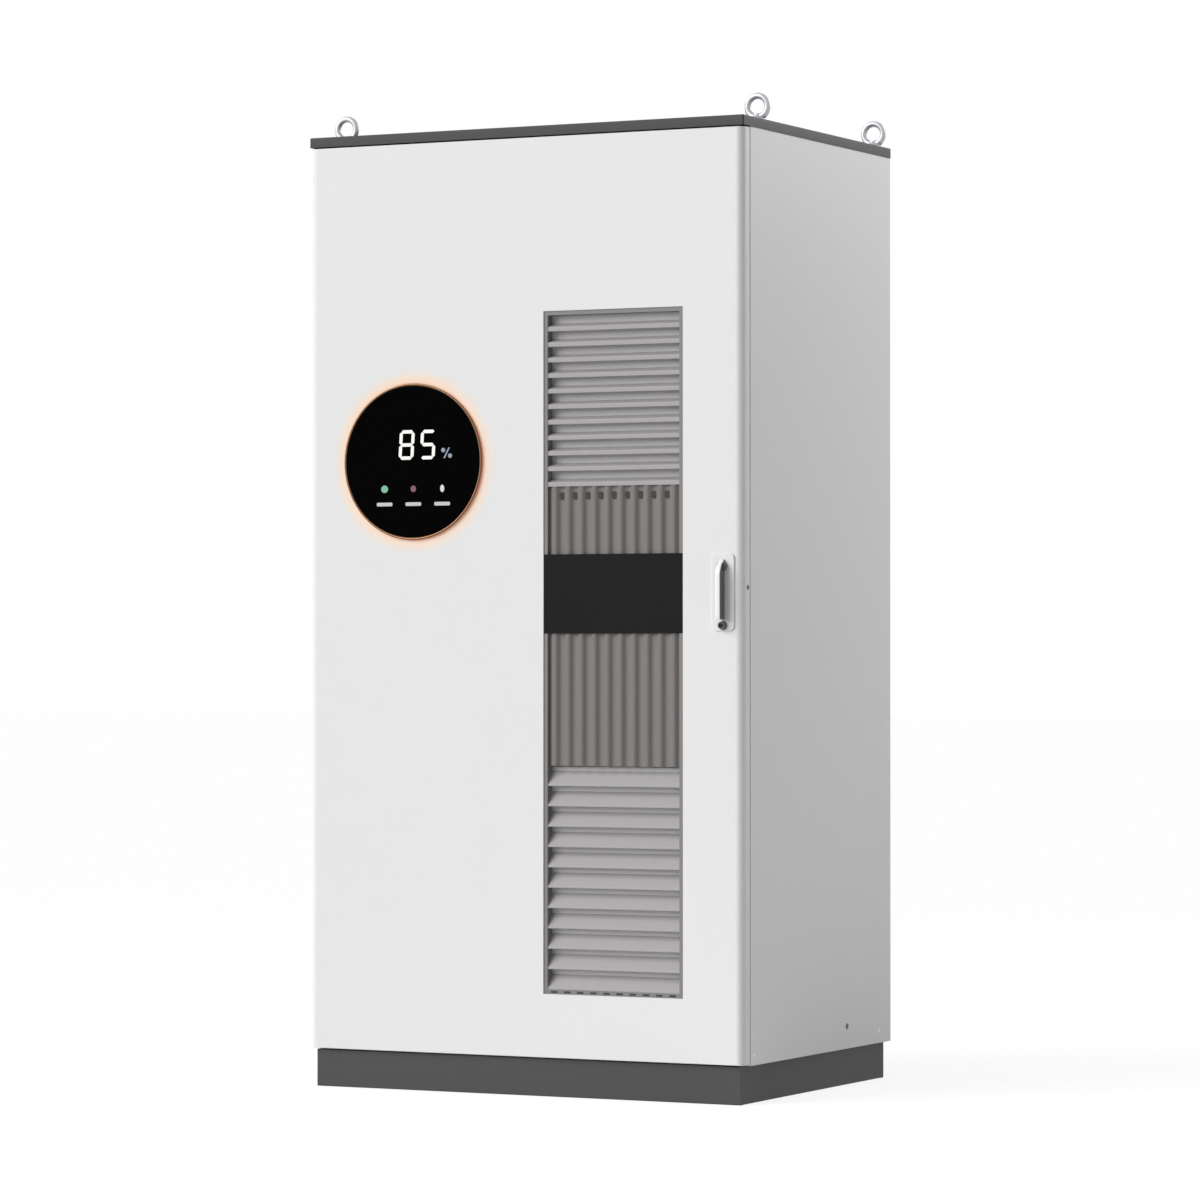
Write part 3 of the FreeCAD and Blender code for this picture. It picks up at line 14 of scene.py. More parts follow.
import bpy
import numpy as np
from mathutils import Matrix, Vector

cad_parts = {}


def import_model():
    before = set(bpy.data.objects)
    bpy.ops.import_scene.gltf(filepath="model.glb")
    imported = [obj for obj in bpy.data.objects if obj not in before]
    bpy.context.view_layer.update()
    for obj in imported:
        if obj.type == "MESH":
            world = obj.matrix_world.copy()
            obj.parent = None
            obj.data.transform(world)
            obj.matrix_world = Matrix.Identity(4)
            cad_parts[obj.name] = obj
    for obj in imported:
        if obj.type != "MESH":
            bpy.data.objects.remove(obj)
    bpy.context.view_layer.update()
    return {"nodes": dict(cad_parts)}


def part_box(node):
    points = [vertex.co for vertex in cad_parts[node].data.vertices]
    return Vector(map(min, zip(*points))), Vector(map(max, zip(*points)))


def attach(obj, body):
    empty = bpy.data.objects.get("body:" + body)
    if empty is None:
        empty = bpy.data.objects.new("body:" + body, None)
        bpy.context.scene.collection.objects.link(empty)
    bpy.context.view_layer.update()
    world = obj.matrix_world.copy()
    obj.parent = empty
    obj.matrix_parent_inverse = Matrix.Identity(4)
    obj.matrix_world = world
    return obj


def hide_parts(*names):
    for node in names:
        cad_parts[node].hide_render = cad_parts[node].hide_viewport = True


LOG = logging.getLogger("battery_cabinet")
DOME_TIP = 0.0001
Array = np.ndarray
Colour = tuple[float, float, float]


class Along(Enum):
    """Axis that an outline is carried along, as the frame axes of (first, second, along)."""

    X = (1, 2, 0)
    Y = (2, 0, 1)
    Z = (0, 1, 2)


class Pattern(Enum):
    """Fine pattern of a finish."""

    GRAIN = "Powder grain"
    BRUSHED = "Brushed streaks"
    SPANGLE = "Zinc spangle"
    FINS = "Pressed fins"


# Shapes


@dataclass(frozen=True)
class Part:
    """One surface of a mesh.

    Attributes:
        points: N x 3 array of places.
        faces: Corner numbers of each face.
    """

    points: Array
    faces: list[tuple[int, ...]]


def in_frame(local: Array, along: Along) -> Array:
    """Local (first, second, along) values put in X, Y, Z order.

    Args:
        local: Array whose last axis is (first, second, along).
        along: Axis that the third value lies on.

    Returns:
        Array of the same shape in the frame's order.
    """
    placed = np.empty_like(local)
    placed[..., list(along.value)] = local
    return placed


def grid_part(grid: Array, closed_rows: bool = False, caps: bool = True) -> Part:
    """Surface on a grid whose columns run round: face (i, j) joins point (i, j) and its three next ones.

    Args:
        grid: rows x columns x 3 array.
        closed_rows: Join the last row to the first one.
        caps: Close both ends with one flat face each.

    Returns:
        The surface, facing outwards where the columns run anticlockwise and the rows along the axis.
    """
    rows, columns = grid.shape[:2]
    index = np.arange(rows * columns).reshape(rows, columns)
    beside = np.roll(index, -1, axis=1)
    above = np.roll(index, -1, axis=0)
    across = np.roll(beside, -1, axis=0)
    quads = np.stack([index, beside, across, above], axis=-1)
    if not closed_rows:
        quads = quads[:-1]
    faces = [tuple(face) for face in quads.reshape(-1, 4).tolist()]
    if caps and not closed_rows:
        faces.append(tuple(index[0, ::-1].tolist()))
        faces.append(tuple(index[-1].tolist()))
    return Part(grid.reshape(-1, 3), faces)


def rounded_outline(half: Sequence[float], radius: float, steps: int) -> tuple[Array, Array]:
    """Rounded rectangle round the origin: each corner's middle plus radius times (cos t, sin t).

    Args:
        half: Half the width and half the height.
        radius: Corner radius.
        steps: Steps in each quarter turn.

    Returns:
        Points and outward normals, anticlockwise.
    """
    turn = np.radians(np.arange(4)[:, None] * 90 + np.linspace(0, 90, steps + 1)[None, :])
    normals = np.stack([np.cos(turn), np.sin(turn)], axis=-1)
    signs = np.array([[1, 1], [-1, 1], [-1, -1], [1, -1]])[:, None, :]
    middles = signs * (np.array(half) - radius)
    return (middles + radius * normals).reshape(-1, 2), normals.reshape(-1, 2)


def edge_rows(low: float, high: float, rounding: float, steps: int) -> tuple[Array, Array]:
    """Heights and insets that round both ends: inset r (1 - sin t) at r (1 - cos t) from the end.

    Args:
        low: Lower end.
        high: Upper end.
        rounding: Radius r.
        steps: Steps in each quarter turn.

    Returns:
        Heights and insets, from low to high.
    """
    turn = np.linspace(0, math.pi / 2, steps + 1)
    inset = rounding * (1 - np.sin(turn))
    rise = rounding * (1 - np.cos(turn))
    return np.concatenate([low + rise, high - rise[::-1]]), np.concatenate([inset, inset[::-1]])


def stacked(ring: Array, normals: Array, heights: Array, insets: Array, centre: Sequence[float],
            along: Along) -> Array:
    """Grid of an outline drawn in by an inset at each height: ring - inset x normal.

    Args:
        ring: Outline round the origin.
        normals: Its outward normals.
        heights: Place of each row on the axis.
        insets: Inset of each row.
        centre: First and second value of the axis.
        along: The axis.

    Returns:
        rows x columns x 3 array.
    """
    flat = ring[None] - normals[None] * insets[:, None, None] + np.array(centre)[None, None]
    rise = np.broadcast_to(heights[:, None, None], flat.shape[:2] + (1,))
    return in_frame(np.concatenate([flat, rise], axis=-1), along)


def rounded_block(low: Sequence[float], high: Sequence[float], corner: float, edge: float,
                  along: Along = Along.Z, steps: int = 3) -> Part:
    """Block with rounded corners and edges: a rounded outline carried along one axis, drawn in at its ends.

    Args:
        low: Lowest corner in the frame.
        high: Highest corner in the frame.
        corner: Radius of the four edges along the axis.
        edge: Radius of the edges at both ends.
        along: Axis of the carried outline.
        steps: Steps in each quarter turn.

    Returns:
        The closed surface.
    """
    order = list(along.value)
    start = np.array(low, float)[order]
    end = np.array(high, float)[order]
    half = (end - start)[:2] / 2
    radius = min(max(corner, edge * 1.02), half.min() * 0.999)
    edge = min(edge, radius / 1.02, (end - start)[2] / 2)
    ring, normals = rounded_outline(half, radius, steps)
    heights, insets = edge_rows(start[2], end[2], edge, steps)
    return grid_part(stacked(ring, normals, heights, insets, (start + end)[:2] / 2, along))


def turned(profile: Sequence[tuple[float, float]], centre: Sequence[float], along: Along = Along.Z,
           steps: int = 64, closed: bool = False) -> Part:
    """Surface of revolution: (r cos t, r sin t, h) for each (r, h) of the profile.

    Args:
        profile: Radius and height of each point, upwards on the outer side.
        centre: Place of the axis' origin in the frame.
        along: Axis of revolution.
        steps: Steps in the full turn.
        closed: Join the profile's end to its start, as on a ring.

    Returns:
        The surface, capped where the profile is open.
    """
    radius, height = np.array(profile, float).T
    turn = np.linspace(0, 2 * math.pi, steps, endpoint=False)
    local = np.stack([radius[:, None] * np.cos(turn), radius[:, None] * np.sin(turn),
                      np.broadcast_to(height[:, None], (len(radius), steps))], axis=-1)
    grid = in_frame(local, along) + np.array(centre, float)
    return grid_part(grid, closed_rows=closed, caps=not closed)


def carried(outline: Array, low: float, high: float, along: Along) -> Part:
    """Straight body: an outline carried from low to high.

    Args:
        outline: N x 2 array of (first, second) values, put anticlockwise by the sign of its area.
        low: Start on the axis.
        high: End on the axis.
        along: Axis to carry it on.

    Returns:
        The closed surface.
    """
    ahead = np.roll(outline, -1, axis=0)
    area = np.sum(outline[:, 0] * ahead[:, 1] - outline[:, 1] * ahead[:, 0])
    ring = outline if area > 0 else outline[::-1]
    still = np.zeros_like(ring)
    return grid_part(stacked(ring, still, np.array([low, high]), np.zeros(2), (0.0, 0.0), along))


def framed(profile: Sequence[tuple[float, float, float]], half: Sequence[float], centre: Sequence[float],
           closed: bool = True) -> Part:
    """Rectangular frame that faces -Y: each (x inset, z inset, y) goes round a rectangle, mitred.

    Args:
        profile: Points from the front's inner edge outwards and back.
        half: Half the width and half the height of the rectangle.
        centre: X and Z of its middle.
        closed: Join the profile's end to its start.

    Returns:
        The surface.
    """
    inset_x, inset_z, depth = np.array(profile, float).T
    turn = np.array([[1, 1], [1, -1], [-1, -1], [-1, 1]])
    x = centre[0] + turn[None, :, 0] * (half[0] - inset_x[:, None])
    z = centre[1] + turn[None, :, 1] * (half[1] - inset_z[:, None])
    y = np.broadcast_to(depth[:, None], x.shape)
    return grid_part(np.stack([x, y, z], axis=-1), closed_rows=closed, caps=False)


def channel_outline(face: float, inward: int, reach: float, low: float, high: float, sheet: float,
                    fold: float) -> Array:
    """Folded sheet in section: an upright web with a lip at both ends and quarter-round outer folds.

    Args:
        face: Place of the web's outer face.
        inward: 1 or -1, the direction of the lips.
        reach: Depth of the lips.
        low: Lower end.
        high: Upper end.
        sheet: Thickness.
        fold: Radius of the outer folds.

    Returns:
        Outline as (depth, height) pairs.
    """
    heights, insets = edge_rows(low, high, fold, 4)
    inside = np.array([[reach, high], [reach, high - sheet], [sheet, high - sheet], [sheet, low + sheet],
                       [reach, low + sheet], [reach, low]])
    outline = np.concatenate([np.stack([insets, heights], axis=-1), inside])
    return outline * np.array([inward, 1.0]) + np.array([face, 0.0])


def tube(path: Array, radius: float, plane: Sequence[float], closed: bool = False, steps: int = 12) -> Part:
    """Round bar along a flat path: path + radius (n cos t + b sin t), with b square to the path's plane.

    Args:
        path: N x 3 array of places in one plane.
        radius: Radius of the bar.
        plane: Direction square to the path's plane.
        closed: The path ends where it starts.
        steps: Steps round the bar.

    Returns:
        The surface, capped where the path is open.
    """
    if closed:
        tangent = np.roll(path, -1, axis=0) - np.roll(path, 1, axis=0)
    else:
        tangent = np.gradient(path, axis=0)
    tangent /= np.linalg.norm(tangent, axis=1, keepdims=True)
    across = np.broadcast_to(np.array(plane, float), tangent.shape)
    normal = np.cross(across, tangent)
    turn = np.linspace(0, 2 * math.pi, steps, endpoint=False)[None, :, None]
    grid = path[:, None] + radius * (normal[:, None] * np.cos(turn) + across[:, None] * np.sin(turn))
    return grid_part(grid[:, ::-1], closed_rows=closed, caps=not closed)


def arc_path(corners: Sequence[Sequence[float]], radius: float, steps: int = 6) -> Array:
    """Path through corners, each inner one rounded by a quadratic curve that starts radius before it.

    Args:
        corners: Places of the ends and the corners.
        radius: Length cut from both runs at a corner.
        steps: Points on each rounded corner.

    Returns:
        N x 3 array of places.
    """
    given = np.array(corners, float)
    inner = given[1:-1]
    back = given[:-2] - inner
    ahead = given[2:] - inner
    start = inner + radius * back / np.linalg.norm(back, axis=1, keepdims=True)
    end = inner + radius * ahead / np.linalg.norm(ahead, axis=1, keepdims=True)
    t = np.linspace(0, 1, steps)[None, :, None]
    curve = (1 - t) ** 2 * start[:, None] + 2 * t * (1 - t) * inner[:, None] + t ** 2 * end[:, None]
    return np.concatenate([given[:1], curve.reshape(-1, 3), given[-1:]])


def bar_outline(length: float, width: float) -> Array:
    """Flat six-sided bar along the first axis, with pointed ends, round the origin.

    Args:
        length: Length over the tips.
        width: Width of the bar.

    Returns:
        Its corners, one in each row.
    """
    tip = length / 2
    side = width / 2
    run = tip - side
    return np.array([[tip, 0], [run, side], [-run, side], [-tip, 0], [-run, -side], [run, -side]])


def oval(half_width: float, half_height: float, steps: int = 28) -> Array:
    """Ellipse round the origin: (a cos t, b sin t)."""
    turn = np.linspace(0, 2 * math.pi, steps, endpoint=False)
    return np.stack([half_width * np.cos(turn), half_height * np.sin(turn)], axis=-1)


def dome(radius: float, rise: float, face: float, side: int) -> list[tuple[float, float]]:
    """Profile of a domed head for turned(): radius r sin t at a rise of h cos t, from low to high.

    Args:
        radius: Radius of the head.
        rise: Height of the dome.
        face: Place of the face that it sits on.
        side: 1 or -1, the direction that the face looks in.

    Returns:
        Radius and height of each point.
    """
    turn = np.linspace(0, math.pi / 2, 5)[::-side]
    return [(DOME_TIP + radius * math.sin(t), face + side * rise * math.cos(t)) for t in turn]


def screw_head(x: float, face: float, z: float, radius: float = 0.0042, rise: float = 0.0022) -> Part:
    """Domed screw head on a face that looks to -Y."""
    return turned(dome(radius, rise, face, -1), (x, 0.0, z), Along.Y, 20)


def box_arrays(node: str) -> tuple[Array, Array]:
    """Lowest and highest corner of a frame node as arrays."""
    low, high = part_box(node)
    return np.array(low), np.array(high)


# Finishes


@dataclass
class GroupSketch:
    """Short way to write a node group.

    Attributes:
        name: Name of the group.
        tree: The group itself.
    """

    name: str
    tree: bpy.types.NodeTree = field(init=False)

    def __post_init__(self) -> None:
        """Make the empty group with the inputs and outputs that every pattern has."""
        self.tree = bpy.data.node_groups.new(self.name, "ShaderNodeTree")
        given = (("Colour", "NodeSocketColor", (0.5, 0.5, 0.5, 1.0)), ("Roughness", "NodeSocketFloat", 0.5),
                 ("Scale", "NodeSocketFloat", 1.0), ("Depth", "NodeSocketFloat", 0.0002),
                 ("Mottle", "NodeSocketFloat", 0.03))
        for name, kind, value in given:
            socket = self.tree.interface.new_socket(name=name, in_out="INPUT", socket_type=kind)
            socket.default_value = value
        for name, kind in (("Colour", "NodeSocketColor"), ("Roughness", "NodeSocketFloat"),
                           ("Normal", "NodeSocketVector")):
            self.tree.interface.new_socket(name=name, in_out="OUTPUT", socket_type=kind)
        self.given = self.tree.nodes.new("NodeGroupInput")
        self.result = self.tree.nodes.new("NodeGroupOutput")

    def texture(self, kind: str, places: bpy.types.NodeSocket, **values: float) -> bpy.types.Node:
        """Add a texture node.

        Args:
            kind: Blender's name of the node.
            places: Coordinates that it reads.
            values: Inputs by name.

        Returns:
            The new node.
        """
        made = self.tree.nodes.new(kind)
        for key, value in values.items():
            made.inputs[key].default_value = value
        self.tree.links.new(places, made.inputs["Vector"])
        return made

    def maths(self, operation: str, first: bpy.types.NodeSocket, second: Any) -> bpy.types.NodeSocket:
        """Math on a socket and a second socket or a number.

        Args:
            operation: Blender's name of the operation.
            first: First value.
            second: Socket or number.

        Returns:
            The result's socket.
        """
        made = self.tree.nodes.new("ShaderNodeMath")
        made.operation = operation
        self.tree.links.new(first, made.inputs[0])
        if isinstance(second, (int, float)):
            made.inputs[1].default_value = second
        else:
            self.tree.links.new(second, made.inputs[1])
        return made.outputs[0]

    def scaled(self, vector: bpy.types.NodeSocket, factor: bpy.types.NodeSocket) -> bpy.types.NodeSocket:
        """A vector or colour times a value.

        Args:
            vector: Socket of the vector or colour.
            factor: Socket of the value.

        Returns:
            The product's socket.
        """
        made = self.tree.nodes.new("ShaderNodeVectorMath")
        made.operation = "SCALE"
        self.tree.links.new(vector, made.inputs[0])
        self.tree.links.new(factor, made.inputs["Scale"])
        return made.outputs[0]

    def places(self, stretch: Sequence[float] = (1.0, 1.0, 1.0)) -> bpy.types.NodeSocket:
        """Object coordinates times the group's scale, stretched on each axis.

        Args:
            stretch: Factor on each axis.

        Returns:
            The coordinates' socket.
        """
        where = self.tree.nodes.new("ShaderNodeTexCoord")
        mapped = self.tree.nodes.new("ShaderNodeMapping")
        mapped.inputs["Scale"].default_value = stretch
        self.tree.links.new(self.scaled(where.outputs["Object"], self.given.outputs["Scale"]),
                            mapped.inputs["Vector"])
        return mapped.outputs[0]

    def finish(self, height: bpy.types.NodeSocket, shade: bpy.types.NodeSocket, polish: float) -> None:
        """Drive the three outputs from a height and a shade pattern, both from 0 to 1.

        Args:
            height: Pattern that the bump follows.
            shade: Pattern that lightens and darkens the colour and changes the roughness.
            polish: How far the roughness follows the shade.
        """
        centred = self.maths("SUBTRACT", shade, 0.5)
        factor = self.maths("ADD", self.maths("MULTIPLY", centred, self.given.outputs["Mottle"]), 1.0)
        tinted = self.scaled(self.given.outputs["Colour"], factor)
        rough = self.maths("ADD", self.maths("MULTIPLY", centred, polish), self.given.outputs["Roughness"])
        bump = self.tree.nodes.new("ShaderNodeBump")
        self.tree.links.new(self.given.outputs["Depth"], bump.inputs["Distance"])
        self.tree.links.new(height, bump.inputs["Height"])
        self.tree.links.new(tinted, self.result.inputs["Colour"])
        self.tree.links.new(rough, self.result.inputs["Roughness"])
        self.tree.links.new(bump.outputs[0], self.result.inputs["Normal"])


class PatternBook:
    """The shared node groups, one for each pattern, each built once."""

    def __init__(self) -> None:
        """Build all patterns."""
        self.groups: dict[Pattern, bpy.types.NodeTree] = {
            Pattern.GRAIN: self.grain(), Pattern.BRUSHED: self.brushed(),
            Pattern.SPANGLE: self.spangle(), Pattern.FINS: self.fins()}

    @staticmethod
    def grain() -> bpy.types.NodeTree:
        """Fine pebbled skin of a powder coat or moulded plastic, with slow clouds of shade.

        Returns:
            The node group.
        """
        sketch = GroupSketch(Pattern.GRAIN.value)
        places = sketch.places()
        fine = sketch.texture("ShaderNodeTexNoise", places, Scale=420.0, Detail=2.0)
        slow = sketch.texture("ShaderNodeTexNoise", places, Scale=2.3, Detail=3.0)
        sketch.finish(fine.outputs["Fac"], slow.outputs["Fac"], 0.10)
        return sketch.tree

    @staticmethod
    def brushed() -> bpy.types.NodeTree:
        """Long thin streaks along Z.

        Returns:
            The node group.
        """
        sketch = GroupSketch(Pattern.BRUSHED.value)
        places = sketch.places((1.0, 1.0, 0.02))
        streaks = sketch.texture("ShaderNodeTexNoise", places, Scale=900.0, Detail=3.0)
        sketch.finish(streaks.outputs["Fac"], streaks.outputs["Fac"], 0.16)
        return sketch.tree

    @staticmethod
    def spangle() -> bpy.types.NodeTree:
        """Irregular crystals of zinc, each with its own shade.

        Returns:
            The node group.
        """
        sketch = GroupSketch(Pattern.SPANGLE.value)
        places = sketch.places()
        cells = sketch.texture("ShaderNodeTexVoronoi", places, Scale=130.0)
        fine = sketch.texture("ShaderNodeTexNoise", places, Scale=260.0, Detail=2.0)
        shade = sketch.tree.nodes.new("ShaderNodeSeparateColor")
        sketch.tree.links.new(cells.outputs["Color"], shade.inputs[0])
        sketch.finish(fine.outputs["Fac"], shade.outputs[0], 0.08)
        return sketch.tree

    @staticmethod
    def fins() -> bpy.types.NodeTree:
        """Thin upright fins: a wave across X whose dark gaps between the fins are painted shade.

        Returns:
            The node group.
        """
        sketch = GroupSketch(Pattern.FINS.value)
        wave = sketch.texture("ShaderNodeTexWave", sketch.places(), Scale=160.0, Distortion=0.3)
        sketch.finish(wave.outputs["Fac"], wave.outputs["Fac"], 0.1)
        return sketch.tree


@dataclass(frozen=True)
class Finish:
    """A surface finish.

    Attributes:
        name: Name of the material.
        slot: The record's material slot; not used.
        colour: Base colour, or the colour of the light where it glows, linear.
        roughness: Middle roughness.
        metallic: 1 on bare metal.
        coat: Weight of a clear coat.
        specular: Level of the plain reflection, 0.5 for most paints and plastics.
        pattern: Fine pattern.
        scale: Size of the pattern, more is finer.
        depth: Height of the pattern's bump.
        mottle: How far the shade changes.
        glow: Strength of the light that the surface gives.
    """

    name: str
    slot: str
    colour: Colour
    roughness: float = 0.45
    metallic: float = 0.0
    coat: float = 0.0
    specular: float = 0.5
    pattern: Pattern = Pattern.GRAIN
    scale: float = 1.0
    depth: float = 0.00006
    mottle: float = 0.04
    glow: float = 0.0

    def build(self, book: PatternBook) -> bpy.types.Material:
        """Make the material.

        Args:
            book: The shared patterns.

        Returns:
            The finished material.
        """
        material = bpy.data.materials.new(self.name)
        material.use_nodes = True
        tree = material.node_tree
        shader = tree.nodes["Principled BSDF"]
        shader.inputs["Metallic"].default_value = self.metallic
        shader.inputs["Coat Weight"].default_value = self.coat
        shader.inputs["Coat Roughness"].default_value = 0.08
        shader.inputs["Specular IOR Level"].default_value = self.specular
        group = tree.nodes.new("ShaderNodeGroup")
        group.node_tree = book.groups[self.pattern]
        dim = 0.1 if self.glow else 1.0
        group.inputs["Colour"].default_value = (*(dim * level for level in self.colour), 1.0)
        group.inputs["Roughness"].default_value = self.roughness
        group.inputs["Scale"].default_value = self.scale
        group.inputs["Depth"].default_value = self.depth
        group.inputs["Mottle"].default_value = self.mottle
        tree.links.new(group.outputs["Colour"], shader.inputs["Base Color"])
        tree.links.new(group.outputs["Roughness"], shader.inputs["Roughness"])
        tree.links.new(group.outputs["Normal"], shader.inputs["Normal"])
        if self.glow:
            shader.inputs["Emission Color"].default_value = (*self.colour, 1.0)
            shader.inputs["Emission Strength"].default_value = self.glow
        return material


class Paint(Enum):
    """Every finish on the cabinet."""

    WHITE = Finish("white_powder_coat", "white_paint", (0.80, 0.80, 0.80), 0.42, specular=0.35,
                   depth=0.00004, mottle=0.015)
    DARK = Finish("dark_powder_coat", "dark_paint", (0.062, 0.063, 0.065), 0.5, specular=0.25, mottle=0.10)
    GREY = Finish("grey_powder_coat", "grey_paint", (0.37, 0.350, 0.354), 0.46, depth=0.00005)
    SURROUND = Finish("mid_grey_powder_coat", "grey_paint", (0.20, 0.195, 0.195), 0.46, depth=0.00005)
    FLUTE = Finish("warm_grey_powder_coat", "grey_paint", (0.184, 0.172, 0.164), 0.5, specular=0.3)
    SCREEN = Finish("screen_grey", "grey_paint", (0.58, 0.57, 0.57), 0.6)
    BAND = Finish("black_gloss_plate", "black_gloss", (0.008, 0.008, 0.009), 0.12, specular=0.15, depth=0.0)
    GLASS = Finish("black_display_glass", "black_glass", (0.0008, 0.0008, 0.0008), 0.06, specular=0.015,
                   depth=0.0)
    RIM = Finish("bronze_rim", "bronze_rim", (0.185, 0.10, 0.056), 0.3, metallic=1.0,
                 pattern=Pattern.BRUSHED)
    GUIDE = Finish("amber_light_guide", "light_guide", (1.0, 0.52, 0.22), 0.4, glow=0.6)
    # The next two finishes on the handle fin are lit and shaded copies of one satin finish: painted light
    # on its front, painted shade and dark reflection on its sides; the dark one is also the plastic of the
    # key boss and the plugs.
    LEVER = Finish("satin_lever", "lever_metal", (0.90, 0.90, 0.90), 0.30, coat=0.3)
    GRIP_AND_FIN_SHADE = Finish("dark_moulded_grip_and_fin_shade", "black_plastic", (0.13, 0.13, 0.133), 0.45, specular=0.3)
    ZINC = Finish("zinc_sheet", "zinc_steel", (0.56, 0.57, 0.59), 0.45, metallic=0.75,
                  pattern=Pattern.SPANGLE, mottle=0.14)
    EYE = Finish("bright_zinc", "eye_steel", (0.50, 0.51, 0.53), 0.42, metallic=0.6,
                 pattern=Pattern.BRUSHED)
    STEEL = Finish("machined_steel", "zinc_steel", (0.52, 0.52, 0.53), 0.30, metallic=1.0,
                   pattern=Pattern.BRUSHED)
    FOAM = Finish("closed_cell_foam", "foam", (0.16, 0.16, 0.17), 0.92, scale=0.6, depth=0.0006, mottle=0.2)
    # Rubber of the door gasket, and painted shade on the dark discs and marks that stand for slots and
    # vents.
    SEAL_AND_SLOT_SHADE = Finish("seal_rubber", "seal_rubber", (0.03, 0.03, 0.03), 0.75, depth=0.0002)
    BLACK = Finish("black_moulded", "black_plastic", (0.022, 0.022, 0.024), 0.5, depth=0.0001, mottle=0.15)
    LIGHT_GREY = Finish("grey_moulded", "grey_plastic", (0.25, 0.26, 0.27), 0.5, depth=0.0001)
    # Aluminium coil fins; the strong mottle of the fin pattern darkens the gaps between them as painted
    # shade.
    COIL = Finish("aluminium_fins", "fin_metal", (0.55, 0.56, 0.57), 0.4, metallic=0.9,
                  pattern=Pattern.FINS, mottle=0.9)
    POT = Finish("black_gloss_paint", "black_paint", (0.02, 0.02, 0.022), 0.2, coat=0.5)
    PACK = Finish("charcoal_powder_coat", "pack_paint", (0.055, 0.057, 0.062), 0.5,
                  depth=0.00008, mottle=0.12)
    CELL = Finish("blue_film", "cell_blue", (0.05, 0.12, 0.28), 0.35)
    ORANGE = Finish("orange_moulded", "orange_plastic", (0.80, 0.20, 0.02), 0.42, depth=0.00008)
    RED = Finish("red_gloss_paint", "red_paint", (0.50, 0.012, 0.012), 0.25, coat=0.5)
    DIGIT = Finish("lit_digits", "black_glass", (0.84, 0.84, 0.80), 0.4, glow=1.0)
    PERCENT = Finish("lit_per_cent", "black_glass", (0.20, 0.25, 0.34), 0.4, glow=1.0)
    GREEN_LAMP = Finish("lit_green", "black_glass", (0.13, 0.40, 0.24), 0.4, glow=1.0)
    RED_LAMP = Finish("lit_red", "black_glass", (0.14, 0.03, 0.05), 0.4, glow=1.0)
    WHITE_LAMP = Finish("lit_white", "black_glass", (0.60, 0.58, 0.55), 0.4, glow=1.0)
    CAPTION = Finish("lit_captions", "black_glass", (0.46, 0.46, 0.44), 0.4, glow=1.0)


class Workshop:
    """Makes pieces and keeps one material for each finish."""

    def __init__(self, nodes: dict[str, bpy.types.Object]) -> None:
        """Keep the frame's nodes and build the patterns.

        Args:
            nodes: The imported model's nodes by name.
        """
        self.nodes = nodes
        self.book = PatternBook()
        self.materials: dict[Paint, bpy.types.Material] = {}

    def material(self, paint: Paint) -> bpy.types.Material:
        """The material of a finish, built when it is first asked for.

        Args:
            paint: The finish.

        Returns:
            The material.
        """
        if paint not in self.materials:
            self.materials[paint] = paint.value.build(self.book)
        return self.materials[paint]

    def dress(self, paint: Paint, *nodes: str) -> None:
        """Give frame nodes a finish in all their material slots.

        Args:
            paint: The finish.
            nodes: Names of frame nodes.
        """
        for name in nodes:
            node = self.nodes[name]
            if not node.material_slots:
                node.data.materials.append(self.material(paint))
            for slot in node.material_slots:
                slot.material = self.material(paint)
            LOG.info("dressed %s in %s", name, paint.value.name)

    def piece(self, name: str, parts: Sequence[Part], paint: Paint, body: str,
              stands_for: Sequence[str] = (), wall: float = 0.0, bevel: float = 0.0,
              smooth: float = 32.0) -> bpy.types.Object:
        """Make one piece from surfaces, finish it, and let it ride.

        Args:
            name: Name of the piece.
            parts: Its surfaces.
            paint: Its finish.
            body: The body that it rides on.
            stands_for: Frame nodes that it replaces.
            wall: Thickness that open surfaces get, inwards.
            bevel: Width of the rounding on its sharp edges.
            smooth: Angle in degrees below which an edge is shaded smooth.

        Returns:
            The piece.
        """
        starts = np.cumsum([0] + [len(part.points) for part in parts])
        points = np.concatenate([part.points for part in parts])
        faces = [tuple(corner + int(start) for corner in face)
                 for part, start in zip(parts, starts) for face in part.faces]
        mesh = bpy.data.meshes.new(name)
        mesh.from_pydata(points.tolist(), [], faces)
        mesh.polygons.foreach_set("use_smooth", np.ones(len(mesh.polygons), bool))
        mesh.set_sharp_from_angle(angle=math.radians(smooth))
        mesh.materials.append(self.material(paint))
        item = bpy.data.objects.new(name, mesh)
        bpy.context.scene.collection.objects.link(item)
        self.modify(item, wall, bevel)
        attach(item, body)
        if stands_for:
            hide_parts(*stands_for)
        LOG.info("made %s on %s", name, body)
        return item

    @staticmethod
    def modify(item: bpy.types.Object, wall: float, bevel: float) -> None:
        """Thicken a sheet inwards, round its edges, and keep its flat faces flat in the shading.

        Args:
            item: The piece.
            wall: Thickness, or 0 on a closed body.
            bevel: Width of the rounding, or 0.
        """
        if wall:
            sheet = item.modifiers.new("sheet", "SOLIDIFY")
            sheet.thickness = wall
            sheet.offset = -1.0
        if bevel:
            rounding = item.modifiers.new("edges", "BEVEL")
            rounding.width = bevel
            rounding.segments = 2
            rounding.limit_method = "ANGLE"
            rounding.angle_limit = math.radians(40)
        shading = item.modifiers.new("shading", "WEIGHTED_NORMAL")
        shading.keep_sharp = True


# Sub-assemblies


